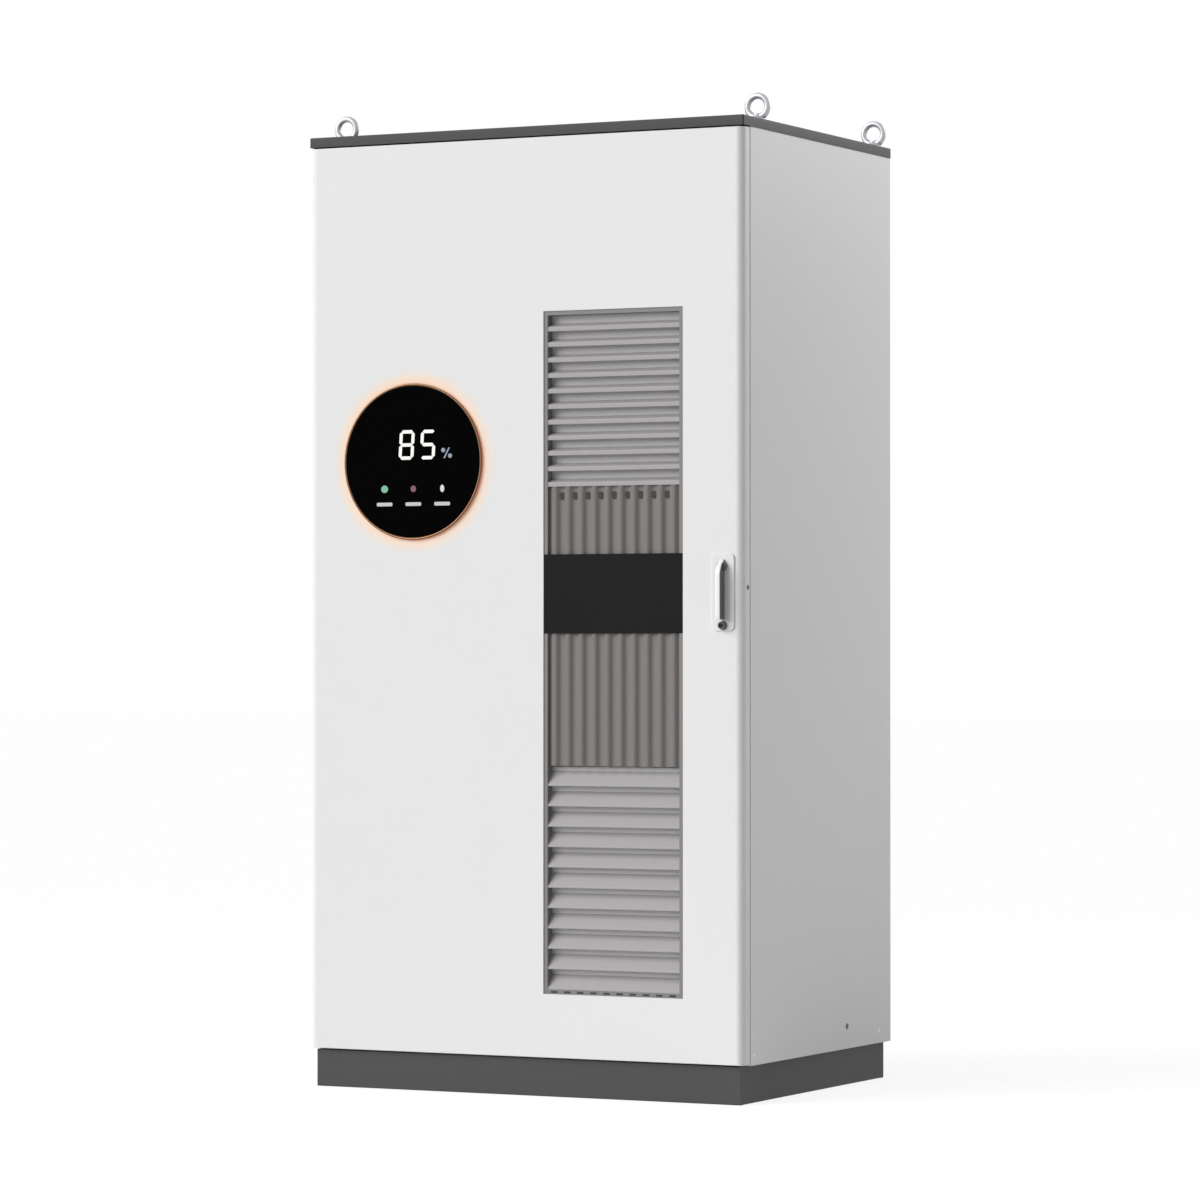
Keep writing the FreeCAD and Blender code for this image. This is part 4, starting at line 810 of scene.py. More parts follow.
@dataclass
class Enclosure:
    """Outer sheets, roof, plinth and lifting eyes.

    Attributes:
        sheet: Thickness of the roof's and the sides' sheet.
        cover: Thickness of a plinth cover.
        cover_lip: Depth of its lips.
        fold: Radius of the folds.
        edge: Rounding of a flat sheet's rim.
        roof_corner: Radius of the roof's upright corners.
        eye_ring: Outer diameter of a lifting ring.
        eye_hole: Its inner diameter.
        collar: Diameter of the eye's collar.
        collar_height: Height of the collar.
        eye_height: Height of an eye above the roof.
        eye_inset: Distance of an eye from the roof's side edge.
        eye_front: Distance of the front eyes from the roof's front edge.
        eye_rear: Distance of the rear eyes from the roof's rear edge.
        eye_swell: Growth of the ring's bar at its foot, as a share of its radius.
        eye_swell_angle: Angle over which the bar grows.
        collar_rim: Rounding of the collar.
        waist: Radius of the eye's waist, as a share of the collar's.
        screw_radius: Radius of a screw on the sides.
        screws: Y and Z of the screws on each side.
        plug_radius: Radius of a plug on the sides.
        plugs: Y and Z of the plugs on each side.
        head_rise: Height of a screw or plug.
    """

    sheet: float = 0.0015
    cover: float = 0.002
    cover_lip: float = 0.015
    fold: float = 0.0025
    edge: float = 0.0007
    roof_corner: float = 0.004
    eye_ring: float = 0.063
    eye_hole: float = 0.035
    collar: float = 0.035
    collar_height: float = 0.008
    eye_height: float = 0.062
    eye_inset: float = 0.026
    eye_front: float = 0.129
    eye_rear: float = 0.045
    eye_swell: float = 0.35
    eye_swell_angle: float = 0.7
    collar_rim: float = 0.0012
    waist: float = 0.62
    screw_radius: float = 0.005
    screws: tuple[tuple[float, float], ...] = ((-0.352, 0.108), (0.342, 0.115))
    plug_radius: float = 0.007
    plugs: tuple[tuple[float, float], ...] = ((0.157, 0.138),)
    head_rise: float = 0.0018

    def build(self, shop: Workshop) -> None:
        """Make the outer pieces.

        Args:
            shop: The workshop.
        """
        self.skins(shop)
        self.roof(shop)
        self.plinth(shop)
        self.side_fixings(shop)
        self.eyes(shop)
        shop.dress(Paint.DARK, "plinth_corners")
        shop.dress(Paint.ZINC, "base_frame", "corner_posts", "top_frame", "floor_plates")
        shop.dress(Paint.STEEL, "frame_fasteners")
        shop.dress(Paint.BLACK, "cable_glands")
        shop.dress(Paint.FOAM, "insulation_boards")

    def skins(self, shop: Workshop) -> None:
        """Side sheets and rear sheet.

        Args:
            shop: The workshop.
        """
        low, high = box_arrays("side_panels")
        right = rounded_block((high[0] - self.sheet, low[1], low[2]), high, self.edge, self.edge, Along.X)
        left = rounded_block(low, (low[0] + self.sheet, high[1], high[2]), self.edge, self.edge, Along.X)
        shop.piece("side_skins", [left, right], Paint.WHITE, "cabinet", ("side_panels",))
        low, high = box_arrays("rear_panel")
        rear = rounded_block(low, high, self.edge, self.edge, Along.Y)
        shop.piece("rear_skin", [rear], Paint.WHITE, "cabinet", ("rear_panel",))

    def roof(self, shop: Workshop) -> None:
        """Tray with a folded skirt: a rounded outline whose last rows turn in over the top.

        Args:
            shop: The workshop.
        """
        low, high = box_arrays("roof_cover")
        middle = (low + high)[:2] / 2
        half = (high - low)[:2] / 2
        ring, normals = rounded_outline(half, self.roof_corner, 4)
        heights, insets = edge_rows(low[2], high[2], self.fold, 4)
        upper = slice(len(heights) // 2, None)
        heights = np.concatenate([[low[2]], heights[upper]])
        insets = np.concatenate([[0.0], insets[upper]])
        skirt = grid_part(stacked(ring, normals, heights, insets, middle, Along.Z), caps=False)
        last = len(skirt.points) - len(ring)
        lid = tuple(range(last, last + len(ring)))
        shop.piece("roof_tray", [Part(skirt.points, skirt.faces + [lid])], Paint.DARK, "cabinet",
                   ("roof_cover",), wall=self.sheet)

    def plinth(self, shop: Workshop) -> None:
        """Four folded covers; the front and rear ones run past the ends of the side ones.

        Args:
            shop: The workshop.
        """
        low, high = box_arrays("plinth_covers")
        parts = []
        for face, inward in ((low[1], 1), (high[1], -1)):
            section = channel_outline(face, inward, self.cover_lip, low[2], high[2], self.cover, self.fold)
            parts.append(carried(section, low[0], high[0], Along.X))
        for face, inward in ((low[0], 1), (high[0], -1)):
            section = channel_outline(face, inward, self.cover_lip, low[2], high[2], self.cover, self.fold)
            parts.append(carried(section[:, ::-1], low[1] + self.cover, high[1] - self.cover, Along.Y))
        shop.piece("plinth_skirts", parts, Paint.DARK, "cabinet", ("plinth_covers",))

    def side_fixings(self, shop: Workshop) -> None:
        """Screws and plugs on both side sheets, as domes that face outwards along X.

        Args:
            shop: The workshop.
        """
        low, high = box_arrays("side_panels")
        for name, paint, radius, places in (
                ("side_screws", Paint.STEEL, self.screw_radius, self.screws),
                ("side_plugs", Paint.GRIP_AND_FIN_SHADE, self.plug_radius, self.plugs)):
            heads = [turned(dome(radius, self.head_rise, face, side), (0.0, y, z), Along.X, 24)
                     for side, face in ((-1, low[0]), (1, high[0])) for y, z in places]
            shop.piece(name, heads, paint, "cabinet")

    def eyes(self, shop: Workshop) -> None:
        """Forged ring eyes: a torus whose bar grows thicker towards its foot, on a turned collar.

        Args:
            shop: The workshop.
        """
        low, high = box_arrays("roof_cover")
        parts: list[Part] = []
        for x in (low[0] + self.eye_inset, high[0] - self.eye_inset):
            for y in (low[1] + self.eye_front, high[1] - self.eye_rear):
                parts.append(self.ring(x, y, high[2]))
                parts.append(self.foot(x, y, high[2]))
        shop.piece("lifting_rings", parts, Paint.EYE, "cabinet", ("lifting_eyes",))

    def ring(self, x: float, y: float, top: float) -> Part:
        """One ring: bar radius w (1 + s exp(-(a / b)^2)) at the angle a from the foot, with a swell s.

        Args:
            x: Place of the eye.
            y: Place of the eye.
            top: Height of the roof.

        Returns:
            The ring.
        """
        bar = (self.eye_ring - self.eye_hole) / 4
        middle = (self.eye_ring + self.eye_hole) / 4
        angle = np.linspace(-math.pi, math.pi, 64, endpoint=False)
        turn = np.linspace(0, 2 * math.pi, 20, endpoint=False)
        thick = bar * (1 + self.eye_swell * np.exp(-((angle / self.eye_swell_angle) ** 2)))
        radial = middle + thick[:, None] * np.cos(turn)[None]
        reach = np.minimum(radial, self.eye_ring / 2)
        centre = top + self.eye_height - self.eye_ring / 2
        grid = np.stack([x + reach * np.sin(angle)[:, None],
                         y + thick[:, None] * np.sin(turn)[None],
                         centre - reach * np.cos(angle)[:, None]], axis=-1)
        return grid_part(grid[:, ::-1], closed_rows=True)

    def foot(self, x: float, y: float, top: float) -> Part:
        """Collar with a rounded rim and a waist that runs up into the ring.

        Args:
            x: Place of the eye.
            y: Place of the eye.
            top: Height of the roof.

        Returns:
            The foot.
        """
        radius = self.collar / 2
        rim = self.collar_rim
        waist = radius * self.waist
        rise = self.collar_height
        profile = [(radius - rim, 0.0), (radius, rim), (radius, rise - rim), (radius - rim, rise),
                   (waist + 0.002, rise + 0.0006), (waist, rise + 0.003), (waist * 0.85, rise + 0.007)]
        return turned(profile, (x, y, top), steps=40)


@dataclass
class DoorLeaf:
    """Door tray and the parts inside it.

    Attributes:
        sheet: Thickness of the skin.
        corner: Radius of the upright front edges.
        fold: Radius of the top and bottom folds.
        lip: Width of the lip at the back.
        flange: Width of the grille's flange behind the skin.
        halo: Width of the glow painted on the paint round the display.
        light: Strength of that painted glow in red.
        painted_glow_tint: Warm tint painted into the paint's colour under the glow.
        plug_radius: Radius of the plug in the door's edge.
        plug_rise: Height of the plug.
        plug: Y and Z of the plug.
    """

    sheet: float = 0.002
    corner: float = 0.018
    fold: float = 0.002
    lip: float = 0.016
    flange: float = 0.012
    halo: float = 0.042
    light: float = 0.17
    painted_glow_tint: Colour = (1.0, 0.94, 0.72)
    plug_radius: float = 0.0055
    plug_rise: float = 0.0018
    plug: tuple[float, float] = (-0.384, 1.150)

    def build(self, shop: Workshop) -> None:
        """Make the door.

        Args:
            shop: The workshop.
        """
        self.skin(shop)
        shop.dress(Paint.WHITE, "door_inner_panel")
        shop.dress(Paint.ZINC, "door_reinforcements", "lock_case")
        shop.dress(Paint.SEAL_AND_SLOT_SHADE, "door_gasket")
        shop.dress(Paint.STEEL, "hinge_frame_leaves", "hinge_door_leaves", "hinge_pins", "lock_keepers",
                   "upper_lock_rod", "lower_lock_rod")
        shop.dress(Paint.BLACK, "rod_guides")
        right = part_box("door_leaf")[1][0]
        head = turned(dome(self.plug_radius, self.plug_rise, right, 1), (0.0, *self.plug), Along.X, 24)
        shop.piece("door_plug", [head], Paint.GRIP_AND_FIN_SHADE, "door")

    def skin(self, shop: Workshop) -> None:
        """Tray as rectangles through its depth d: inset R - sqrt(R^2 - (R - d)^2), R larger at the sides.

        The first rectangle is the grille's opening, the last one the inner edge of the lip at the back.

        Args:
            shop: The workshop.
        """
        low, high = box_arrays("door_leaf")
        grille_low, grille_high = box_arrays("grille_frame")
        half = (high - low)[[0, 2]] / 2
        middle = (high + low)[[0, 2]] / 2
        deep = high[1] - low[1]
        small = self.fold * (1 - np.cos(np.linspace(0, math.pi / 2, 5)))
        large = self.corner * (1 - np.cos(np.linspace(0, math.pi / 2, 15)))
        depth = np.unique(np.concatenate([small, large[large > self.fold], [deep]]))
        inset_x, inset_z = (radius - np.sqrt(radius ** 2 - np.clip(radius - depth, 0, None) ** 2)
                            for radius in (self.corner, self.fold))
        rows = np.stack([inset_x, inset_z, low[1] + depth], axis=-1)
        lip = np.array([[self.lip, self.lip, high[1]]])
        tray = framed(np.concatenate([rows, lip]).tolist(), half, middle, closed=False)
        hole_half = (grille_high - grille_low)[[0, 2]] / 2 - self.flange
        hole_middle = (grille_high + grille_low)[[0, 2]] / 2
        hole = framed([(0.0, 0.0, low[1])], hole_half, hole_middle, closed=False)
        grid = np.concatenate([hole.points, tray.points]).reshape(-1, 4, 3)
        skin = shop.piece("door_skin", [grid_part(grid, caps=False)], Paint.WHITE, "door", ("door_leaf",),
                          wall=self.sheet)
        skin.data.materials[0] = self.painted_glow_paint(shop)

    def painted_glow_paint(self, shop: Workshop) -> bpy.types.Material:
        """White paint with the display's amber glow painted on it: an emission and a warm tint of the
        colour, both fading with the distance from the rim.

        Args:
            shop: The workshop.

        Returns:
            A copy of the white paint with the painted glow in it.
        """
        low, high = box_arrays("display_bezel")
        centre = (low + high) / 2
        radius = (high[0] - low[0]) / 2
        material = shop.material(Paint.WHITE).copy()
        material.name = "white_powder_coat_painted_glow"
        tree = material.node_tree
        shader = tree.nodes["Principled BSDF"]
        group = next(node for node in tree.nodes if node.bl_idname == "ShaderNodeGroup")
        where = tree.nodes.new("ShaderNodeTexCoord")
        mapped = tree.nodes.new("ShaderNodeMapping")
        mapped.inputs["Location"].default_value = (-centre[0], 0.0, -centre[2])
        mapped.inputs["Scale"].default_value = (1.0, 0.0, 1.0)
        distance = tree.nodes.new("ShaderNodeVectorMath")
        distance.operation = "LENGTH"
        fade = tree.nodes.new("ShaderNodeMapRange")
        fade.interpolation_type = "SMOOTHERSTEP"
        fade.inputs["From Min"].default_value = radius - 0.006
        fade.inputs["From Max"].default_value = radius + self.halo
        fade.inputs["To Min"].default_value = 1.0
        fade.inputs["To Max"].default_value = 0.0
        # Painted light: emission in the paint and a warm tint of its colour near the rim stand in for the
        # light guide's glow on the door.
        light = self.mix(tree, "MIX", (self.light, 0.0, 0.0, 1.0))
        light.inputs["A"].default_value = (0.0, 0.0, 0.0, 1.0)
        warm = self.mix(tree, "MULTIPLY", (*self.painted_glow_tint, 1.0))
        tree.links.new(where.outputs["Object"], mapped.inputs["Vector"])
        tree.links.new(mapped.outputs[0], distance.inputs[0])
        tree.links.new(distance.outputs["Value"], fade.inputs["Value"])
        tree.links.new(fade.outputs[0], light.inputs["Factor"])
        tree.links.new(fade.outputs[0], warm.inputs["Factor"])
        tree.links.new(group.outputs["Colour"], warm.inputs["A"])
        tree.links.new(warm.outputs["Result"], shader.inputs["Base Color"])
        tree.links.new(light.outputs["Result"], shader.inputs["Emission Color"])
        shader.inputs["Emission Strength"].default_value = 1.0
        return material

    @staticmethod
    def mix(tree: bpy.types.NodeTree, blend: str, second: tuple[float, ...]) -> bpy.types.Node:
        """Colour mix node with its second colour set.

        Args:
            tree: Node tree of the material.
            blend: Way that the two colours are mixed.
            second: The second colour.

        Returns:
            The mix node.
        """
        made = tree.nodes.new("ShaderNodeMix")
        made.data_type = "RGBA"
        made.blend_type = blend
        made.inputs["B"].default_value = second
        return made


@dataclass
class Grille:
    """Grille in the door: frame, blades, fluted plates, band and dust screen.

    Attributes:
        flange: Overlap of the frame's hidden flange.
        flange_sheet: Thickness of that flange.
        fit: Gap between the frame and the door.
        border: Width of the frame's face.
        blade: Sheet of a blade.
        blade_depth: Front-to-back depth of a blade.
        upper_share: Upper blade's height as a share of the pitch.
        upper_lip: Height of an upper blade's upright lip.
        lower_share: Lower blade's height as a share of the pitch.
        lower_lip: Height of a lower blade's upright lip.
        count: Blades in each set.
        ribs: Flutes across each plate.
        rib_depth: Depth of a flute.
        flute_bend: Sharpness of the flutes, k in their formula.
        slot: Half the width and half the height of a slot in a flute.
        slot_drop: Distance of the slots below the plate's top.
        slot_rise: How far a slot's dark face, painted shade in place of an opening, stands in front of the
            groove's root.
        drain: Half the width and half the height of a drain slot.
        drain_rise: Thickness of a drain's dark face, painted shade in place of an opening.
        screen_gap: Distance of the screen behind the blades' front.
        screen_rise: Height of the lower screen above its blades.
        screen_sheet: Thickness of a screen.
        screen_fit: Gap at a screen's sides, and the rounding of its rim.
        band_lap: How far the band stands proud of the frame that it laps.
    """

    flange: float = 0.012
    flange_sheet: float = 0.0015
    fit: float = 0.0005
    border: float = 0.010
    blade: float = 0.0015
    blade_depth: float = 0.020
    upper_share: float = 0.52
    upper_lip: float = 0.0095
    lower_share: float = 0.74
    lower_lip: float = 0.004
    count: int = 11
    ribs: int = 10
    rib_depth: float = 0.006
    flute_bend: float = 1.3
    slot: tuple[float, float] = (0.0062, 0.0085)
    slot_drop: float = 0.021
    slot_rise: float = 0.002
    drain: tuple[float, float] = (0.0085, 0.0022)
    drain_rise: float = 0.0003
    screen_gap: float = 0.021
    screen_rise: float = 0.010
    screen_sheet: float = 0.001
    screen_fit: float = 0.0003
    band_lap: float = 0.0012

    def build(self, shop: Workshop) -> None:
        """Make the grille.

        Args:
            shop: The workshop.
        """
        self.surround(shop)
        self.blades(shop, "upper_louvres", self.upper_share, self.upper_lip)
        self.blades(shop, "lower_louvres", self.lower_share, self.lower_lip)
        self.flutes(shop)
        self.slots(shop)
        self.screens(shop)
        self.band(shop)

    def surround(self, shop: Workshop) -> None:
        """Frame: a section with a flange behind the door's skin, carried round the opening.

        Args:
            shop: The workshop.
        """
        low, high = box_arrays("grille_frame")
        front = low[1]
        back = high[1]
        inner = self.flange + self.border
        wall = self.flange + self.fit
        section = [(inner, inner, front), (0.0, 0.0, front), (0.0, 0.0, front + self.flange_sheet),
                   (wall, wall, front + self.flange_sheet), (wall, wall, back), (inner, inner, back)]
        half = (high - low)[[0, 2]] / 2
        middle = (high + low)[[0, 2]] / 2
        shop.piece("grille_surround", [framed(section, half, middle)], Paint.SURROUND, "door",
                   ("grille_frame",), bevel=0.0006)

    def blades(self, shop: Workshop, node: str, share: float, lip: float) -> None:
        """One set of blades: a hemmed lip, then a slope that rises backwards.

        Args:
            shop: The workshop.
            node: Frame node that the set replaces.
            share: Blade height as a share of the pitch.
            lip: Height of a blade's upright lip.
        """
        low, high = box_arrays(node)
        pitch = (high[2] - low[2]) / (self.count - 1 + share)
        outlines = [self.blade_outline(low[1], low[2] + i * pitch, pitch * share, lip)
                    for i in range(self.count)]
        parts = [carried(outline, low[0], high[0], Along.X) for outline in outlines]
        shop.piece(node + "_folded", parts, Paint.GREY, "door", (node,), smooth=50.0)

    def blade_outline(self, ahead: float, foot: float, tall: float, lip: float) -> Array:
        """Section of a blade in (Y, Z): a half-round hem, an upright lip, a bend and a slope to the back.

        Args:
            ahead: Y of the front.
            foot: Z of the foot.
            tall: Height of the blade.
            lip: Height of the lip.

        Returns:
            Outline of the section.
        """
        half = self.blade / 2
        turn = np.linspace(math.pi, 2 * math.pi, 7)
        hem = np.stack([ahead + half + half * np.cos(turn), foot + half + half * np.sin(turn)], axis=-1)
        slope = math.atan2(tall - lip, self.blade_depth)
        bend = np.linspace(math.pi, math.pi / 2 + slope, 6)
        radius = 0.0025
        outer = np.stack([ahead + radius + radius * np.cos(bend),
                          foot + lip - 0.001 + radius * np.sin(bend)], axis=-1)
        back = np.array([[ahead + self.blade_depth, foot + tall]])
        under = back - np.array([[0.0, self.blade / math.cos(slope)]])
        inner = np.array([[ahead + self.blade * 1.4, foot + lip - 0.0005]])
        return np.concatenate([hem, inner, under, back, outer[::-1]])

    def flutes(self, shop: Workshop) -> None:
        """Fluted plates: front = Y + D (1 - w), with w = (1 - tanh(k cos(2 pi p)) / tanh(k)) / 2.

        Args:
            shop: The workshop.
        """
        low, high = box_arrays("ribbed_panels")
        band_low, band_high = box_arrays("band_plate")
        x = np.linspace(low[0], high[0], self.ribs * 16 + 1)
        phase = (x - low[0]) / (high[0] - low[0]) * self.ribs
        bend = self.flute_bend
        wave = 0.5 - 0.5 * np.tanh(bend * np.cos(2 * math.pi * phase)) / math.tanh(bend)
        front = np.stack([x, low[1] + self.rib_depth * (1 - wave)], axis=-1)
        back = np.array([[high[0], high[1]], [low[0], high[1]]])
        outline = np.concatenate([front, back])
        parts = [carried(outline, bottom, top, Along.Z)
                 for bottom, top in ((low[2], band_low[2]), (band_high[2], high[2]))]
        shop.piece("fluted_plates", parts, Paint.FLUTE, "door", ("ribbed_panels",), smooth=50.0)

    def slots(self, shop: Workshop) -> None:
        """Dark faces that stand for openings and paint their shade: one near the top of each groove, and
        drains along the frame's foot.

        Args:
            shop: The workshop.
        """
        low, high = box_arrays("ribbed_panels")
        frame_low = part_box("grille_frame")[0]
        root = low[1] + self.rib_depth
        pitch = (high[0] - low[0]) / self.ribs
        groove, _ = rounded_outline(self.slot, 0.0055, 5)
        drain, _ = rounded_outline(self.drain, 0.002, 4)
        foot = frame_low[2] + self.flange + self.border / 2
        parts = []
        for i in range(1, self.ribs):
            place = np.array([low[0] + i * pitch, high[2] - self.slot_drop])
            parts.append(carried((groove + place)[:, ::-1], root - self.slot_rise, root, Along.Y))
        for i in range(self.ribs):
            place = np.array([low[0] + (i + 0.5) * pitch, foot])
            parts.append(carried((drain + place)[:, ::-1], frame_low[1] - self.drain_rise, frame_low[1],
                                 Along.Y))
        # The slots and drains are dark discs, painted shade where openings would be.
        shop.piece("grille_slots", parts, Paint.SEAL_AND_SLOT_SHADE, "door")

    def screens(self, shop: Workshop) -> None:
        """Plain dust screens behind both sets of blades.

        Args:
            shop: The workshop.
        """
        parts = []
        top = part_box("grille_frame")[1][2] - self.flange - self.border
        for node in ("upper_louvres", "lower_louvres"):
            low, high = box_arrays(node)
            roof = top if node.startswith("upper") else high[2] + self.screen_rise
            fit = self.screen_fit
            start = (low[0] + fit, low[1] + self.screen_gap, low[2])
            end = (high[0] - fit, start[1] + self.screen_sheet, roof)
            parts.append(rounded_block(start, end, fit, fit, Along.Y, steps=1))
        shop.piece("dust_screens", parts, Paint.SCREEN, "door")

    def band(self, shop: Workshop) -> None:
        """Gloss band: the plate itself, and a face that laps the frame on both sides.

        Args:
            shop: The workshop.
        """
        low, high = box_arrays("band_plate")
        lap = self.border - self.fit * 2
        plate = rounded_block(low, high, 0.0006, 0.0006, Along.Y)
        start = (low[0] - lap, low[1] - self.band_lap, low[2])
        end = (high[0] + lap, low[1], high[2])
        face = rounded_block(start, end, 0.0008, 0.0005, Along.Y)
        shop.piece("black_band", [plate, face], Paint.BAND, "door", ("band_plate",))


@dataclass
class Display:
    """Round display: glass, rim, light guide, digits and lamps.

    Attributes:
        digit_height: Height of a digit.
        digit_width: Width of a digit.
        stroke: Width of a segment.
        slant: Lean of the digits to the right, as a share of the height.
        ink: Thickness of the lit marks on the glass.
        digits: Each digit and the X of its middle.
        digit_level: Height of the digits' middle.
        sign_x: X of the per cent sign.
        lamp_x: X of the middle lamp.
        lamp_gap: Distance between two lamps.
        lamp_level: Height of the lamps.
        caption_level: Height of the bars under the lamps.
        lamp_sizes: Half the width and half the height of each lamp, from the left.
        caption: Half the width and half the height of a bar.
        glass_bevel: Width of the bevel on the glass.
        rim_bulge: Depth of the rim's half-round front.
        guide_width: Width of the light guide.
    """

    digit_height: float = 0.068
    digit_width: float = 0.039
    stroke: float = 0.0078
    slant: float = 0.06
    ink: float = 0.0004
    digits: tuple[tuple[str, float], ...] = (("8", -0.2950), ("5", -0.2395))
    digit_level: float = 1.4815
    sign_x: float = -0.1905
    lamp_x: float = -0.2775
    lamp_gap: float = 0.0755
    lamp_level: float = 1.3805
    caption_level: float = 1.3455
    lamp_sizes: tuple[tuple[float, float], ...] = ((0.0090, 0.0085), (0.0070, 0.0075), (0.0052, 0.0085))
    caption: tuple[float, float] = (0.0205, 0.0042)
    glass_bevel: float = 0.0012
    rim_bulge: float = 0.0022
    guide_width: float = 0.020

    def build(self, shop: Workshop) -> None:
        """Make the display.

        Args:
            shop: The workshop.
        """
        low, high = box_arrays("display_glass")
        self.centre = (low + high) / 2
        self.face = low[1]
        self.pane(shop)
        self.rim(shop)
        self.guide(shop)
        self.numbers(shop)
        self.per_cent(shop)
        self.lamps(shop)
        shop.dress(Paint.BLACK, "display_can")

    def pane(self, shop: Workshop) -> None:
        """Glass with a polished quarter-round bevel round its face.

        Args:
            shop: The workshop.
        """
        low, high = box_arrays("display_glass")
        radius = (high[0] - low[0]) / 2
        bevel = self.glass_bevel
        turn = np.linspace(0, math.pi / 2, 5)
        rim = [(radius - bevel * (1 - math.sin(t)), low[1] + bevel * (1 - math.cos(t))) for t in turn]
        centre = (self.centre[0], 0.0, self.centre[2])
        pane = turned(rim + [(radius, high[1])], centre, Along.Y, 128)
        shop.piece("display_pane", [pane], Paint.GLASS, "door", ("display_glass",))

    def rim(self, shop: Workshop) -> None:
        """Thin rim with a half-round front.

        Args:
            shop: The workshop.
        """
        low, high = box_arrays("display_bezel")
        outer = (high[0] - low[0]) / 2
        glass_low, glass_high = box_arrays("display_glass")
        width = outer - (glass_high[0] - glass_low[0]) / 2 - 0.0003
        middle = outer - width / 2
        bulge = self.rim_bulge
        crown = np.linspace(0, math.pi, 12)
        front = [(middle - width / 2 * math.cos(t), low[1] + bulge * (1 - math.sin(t))) for t in crown]
        profile = front + [(outer, high[1]), (middle - width / 2, high[1])]
        ring = turned(profile, (self.centre[0], 0.0, self.centre[2]), Along.Y, 128, closed=True)
        shop.piece("display_rim", [ring], Paint.RIM, "door", ("display_bezel",))

    def guide(self, shop: Workshop) -> None:
        """Light guide between the rim and the door.

        Args:
            shop: The workshop.
        """
        low, high = box_arrays("display_light_ring")
        outer = (high[0] - low[0]) / 2
        inner = outer - self.guide_width
        profile = [(inner, low[1]), (outer, low[1]), (outer, high[1]), (inner, high[1])]
        ring = turned(profile, (self.centre[0], 0.0, self.centre[2]), Along.Y, 128, closed=True)
        shop.piece("light_guide", [ring], Paint.GUIDE, "door", ("display_light_ring",))

    def mark(self, outline: Array) -> Part:
        """Thin lit mark on the glass from an outline in (X, Z)."""
        return carried(outline[:, ::-1], self.face - self.ink, self.face, Along.Y)

    def leaned(self, outline: Array, x: float, z: float) -> Array:
        """Outline leaned to the right and moved to a place."""
        return np.stack([outline[:, 0] + self.slant * outline[:, 1] + x, outline[:, 1] + z], axis=-1)

    def numbers(self, shop: Workshop) -> None:
        """Seven-segment digits.

        Args:
            shop: The workshop.
        """
        lit = {"8": "abcdefg", "5": "acdfg"}
        half_w = (self.digit_width - self.stroke) / 2
        half_h = (self.digit_height - self.stroke) / 2
        flat = bar_outline(2 * half_w * 0.97, self.stroke)
        tall = bar_outline(half_h * 0.95, self.stroke)[:, ::-1]
        places = {"a": (flat, 0.0, half_h), "g": (flat, 0.0, 0.0), "d": (flat, 0.0, -half_h),
                  "f": (tall, -half_w, half_h / 2), "b": (tall, half_w, half_h / 2),
                  "e": (tall, -half_w, -half_h / 2), "c": (tall, half_w, -half_h / 2)}
        parts = []
        for digit, x in self.digits:
            for name in lit[digit]:
                outline, dx, dz = places[name]
                parts.append(self.mark(self.leaned(outline + np.array([dx, dz]), x, self.digit_level)))
        shop.piece("display_digits", parts, Paint.DIGIT, "door")

    def per_cent(self, shop: Workshop) -> None:
        """Per cent sign: two small discs and a slanted bar.

        Args:
            shop: The workshop.
        """
        place = np.array([self.sign_x, self.digit_level - self.digit_height / 2 + 0.014])
        dot = oval(0.0052, 0.0052, 20)
        bar = np.array([[-0.0085, -0.012], [-0.0045, -0.012], [0.0085, 0.012], [0.0045, 0.012]])
        outlines = [dot + np.array([-0.009, 0.0065]), dot + np.array([0.009, -0.0065]), bar]
        parts = [self.mark(outline + place) for outline in outlines]
        shop.piece("display_per_cent", parts, Paint.PERCENT, "door")

    def lamps(self, shop: Workshop) -> None:
        """Three status lamps in a row, with a plain bar under each.

        Args:
            shop: The workshop.
        """
        lamps = (("green", Paint.GREEN_LAMP), ("red", Paint.RED_LAMP), ("white", Paint.WHITE_LAMP))
        caption, _ = rounded_outline(self.caption, 0.003, 4)
        bars = []
        for i, ((name, paint), size) in enumerate(zip(lamps, self.lamp_sizes)):
            x = self.lamp_x + (i - 1) * self.lamp_gap
            outline = oval(*size) + np.array([x, self.lamp_level])
            shop.piece("status_lamp_" + name, [self.mark(outline)], paint, "door")
            bars.append(self.mark(caption + np.array([x, self.caption_level])))
        shop.piece("display_captions", bars, Paint.CAPTION, "door")


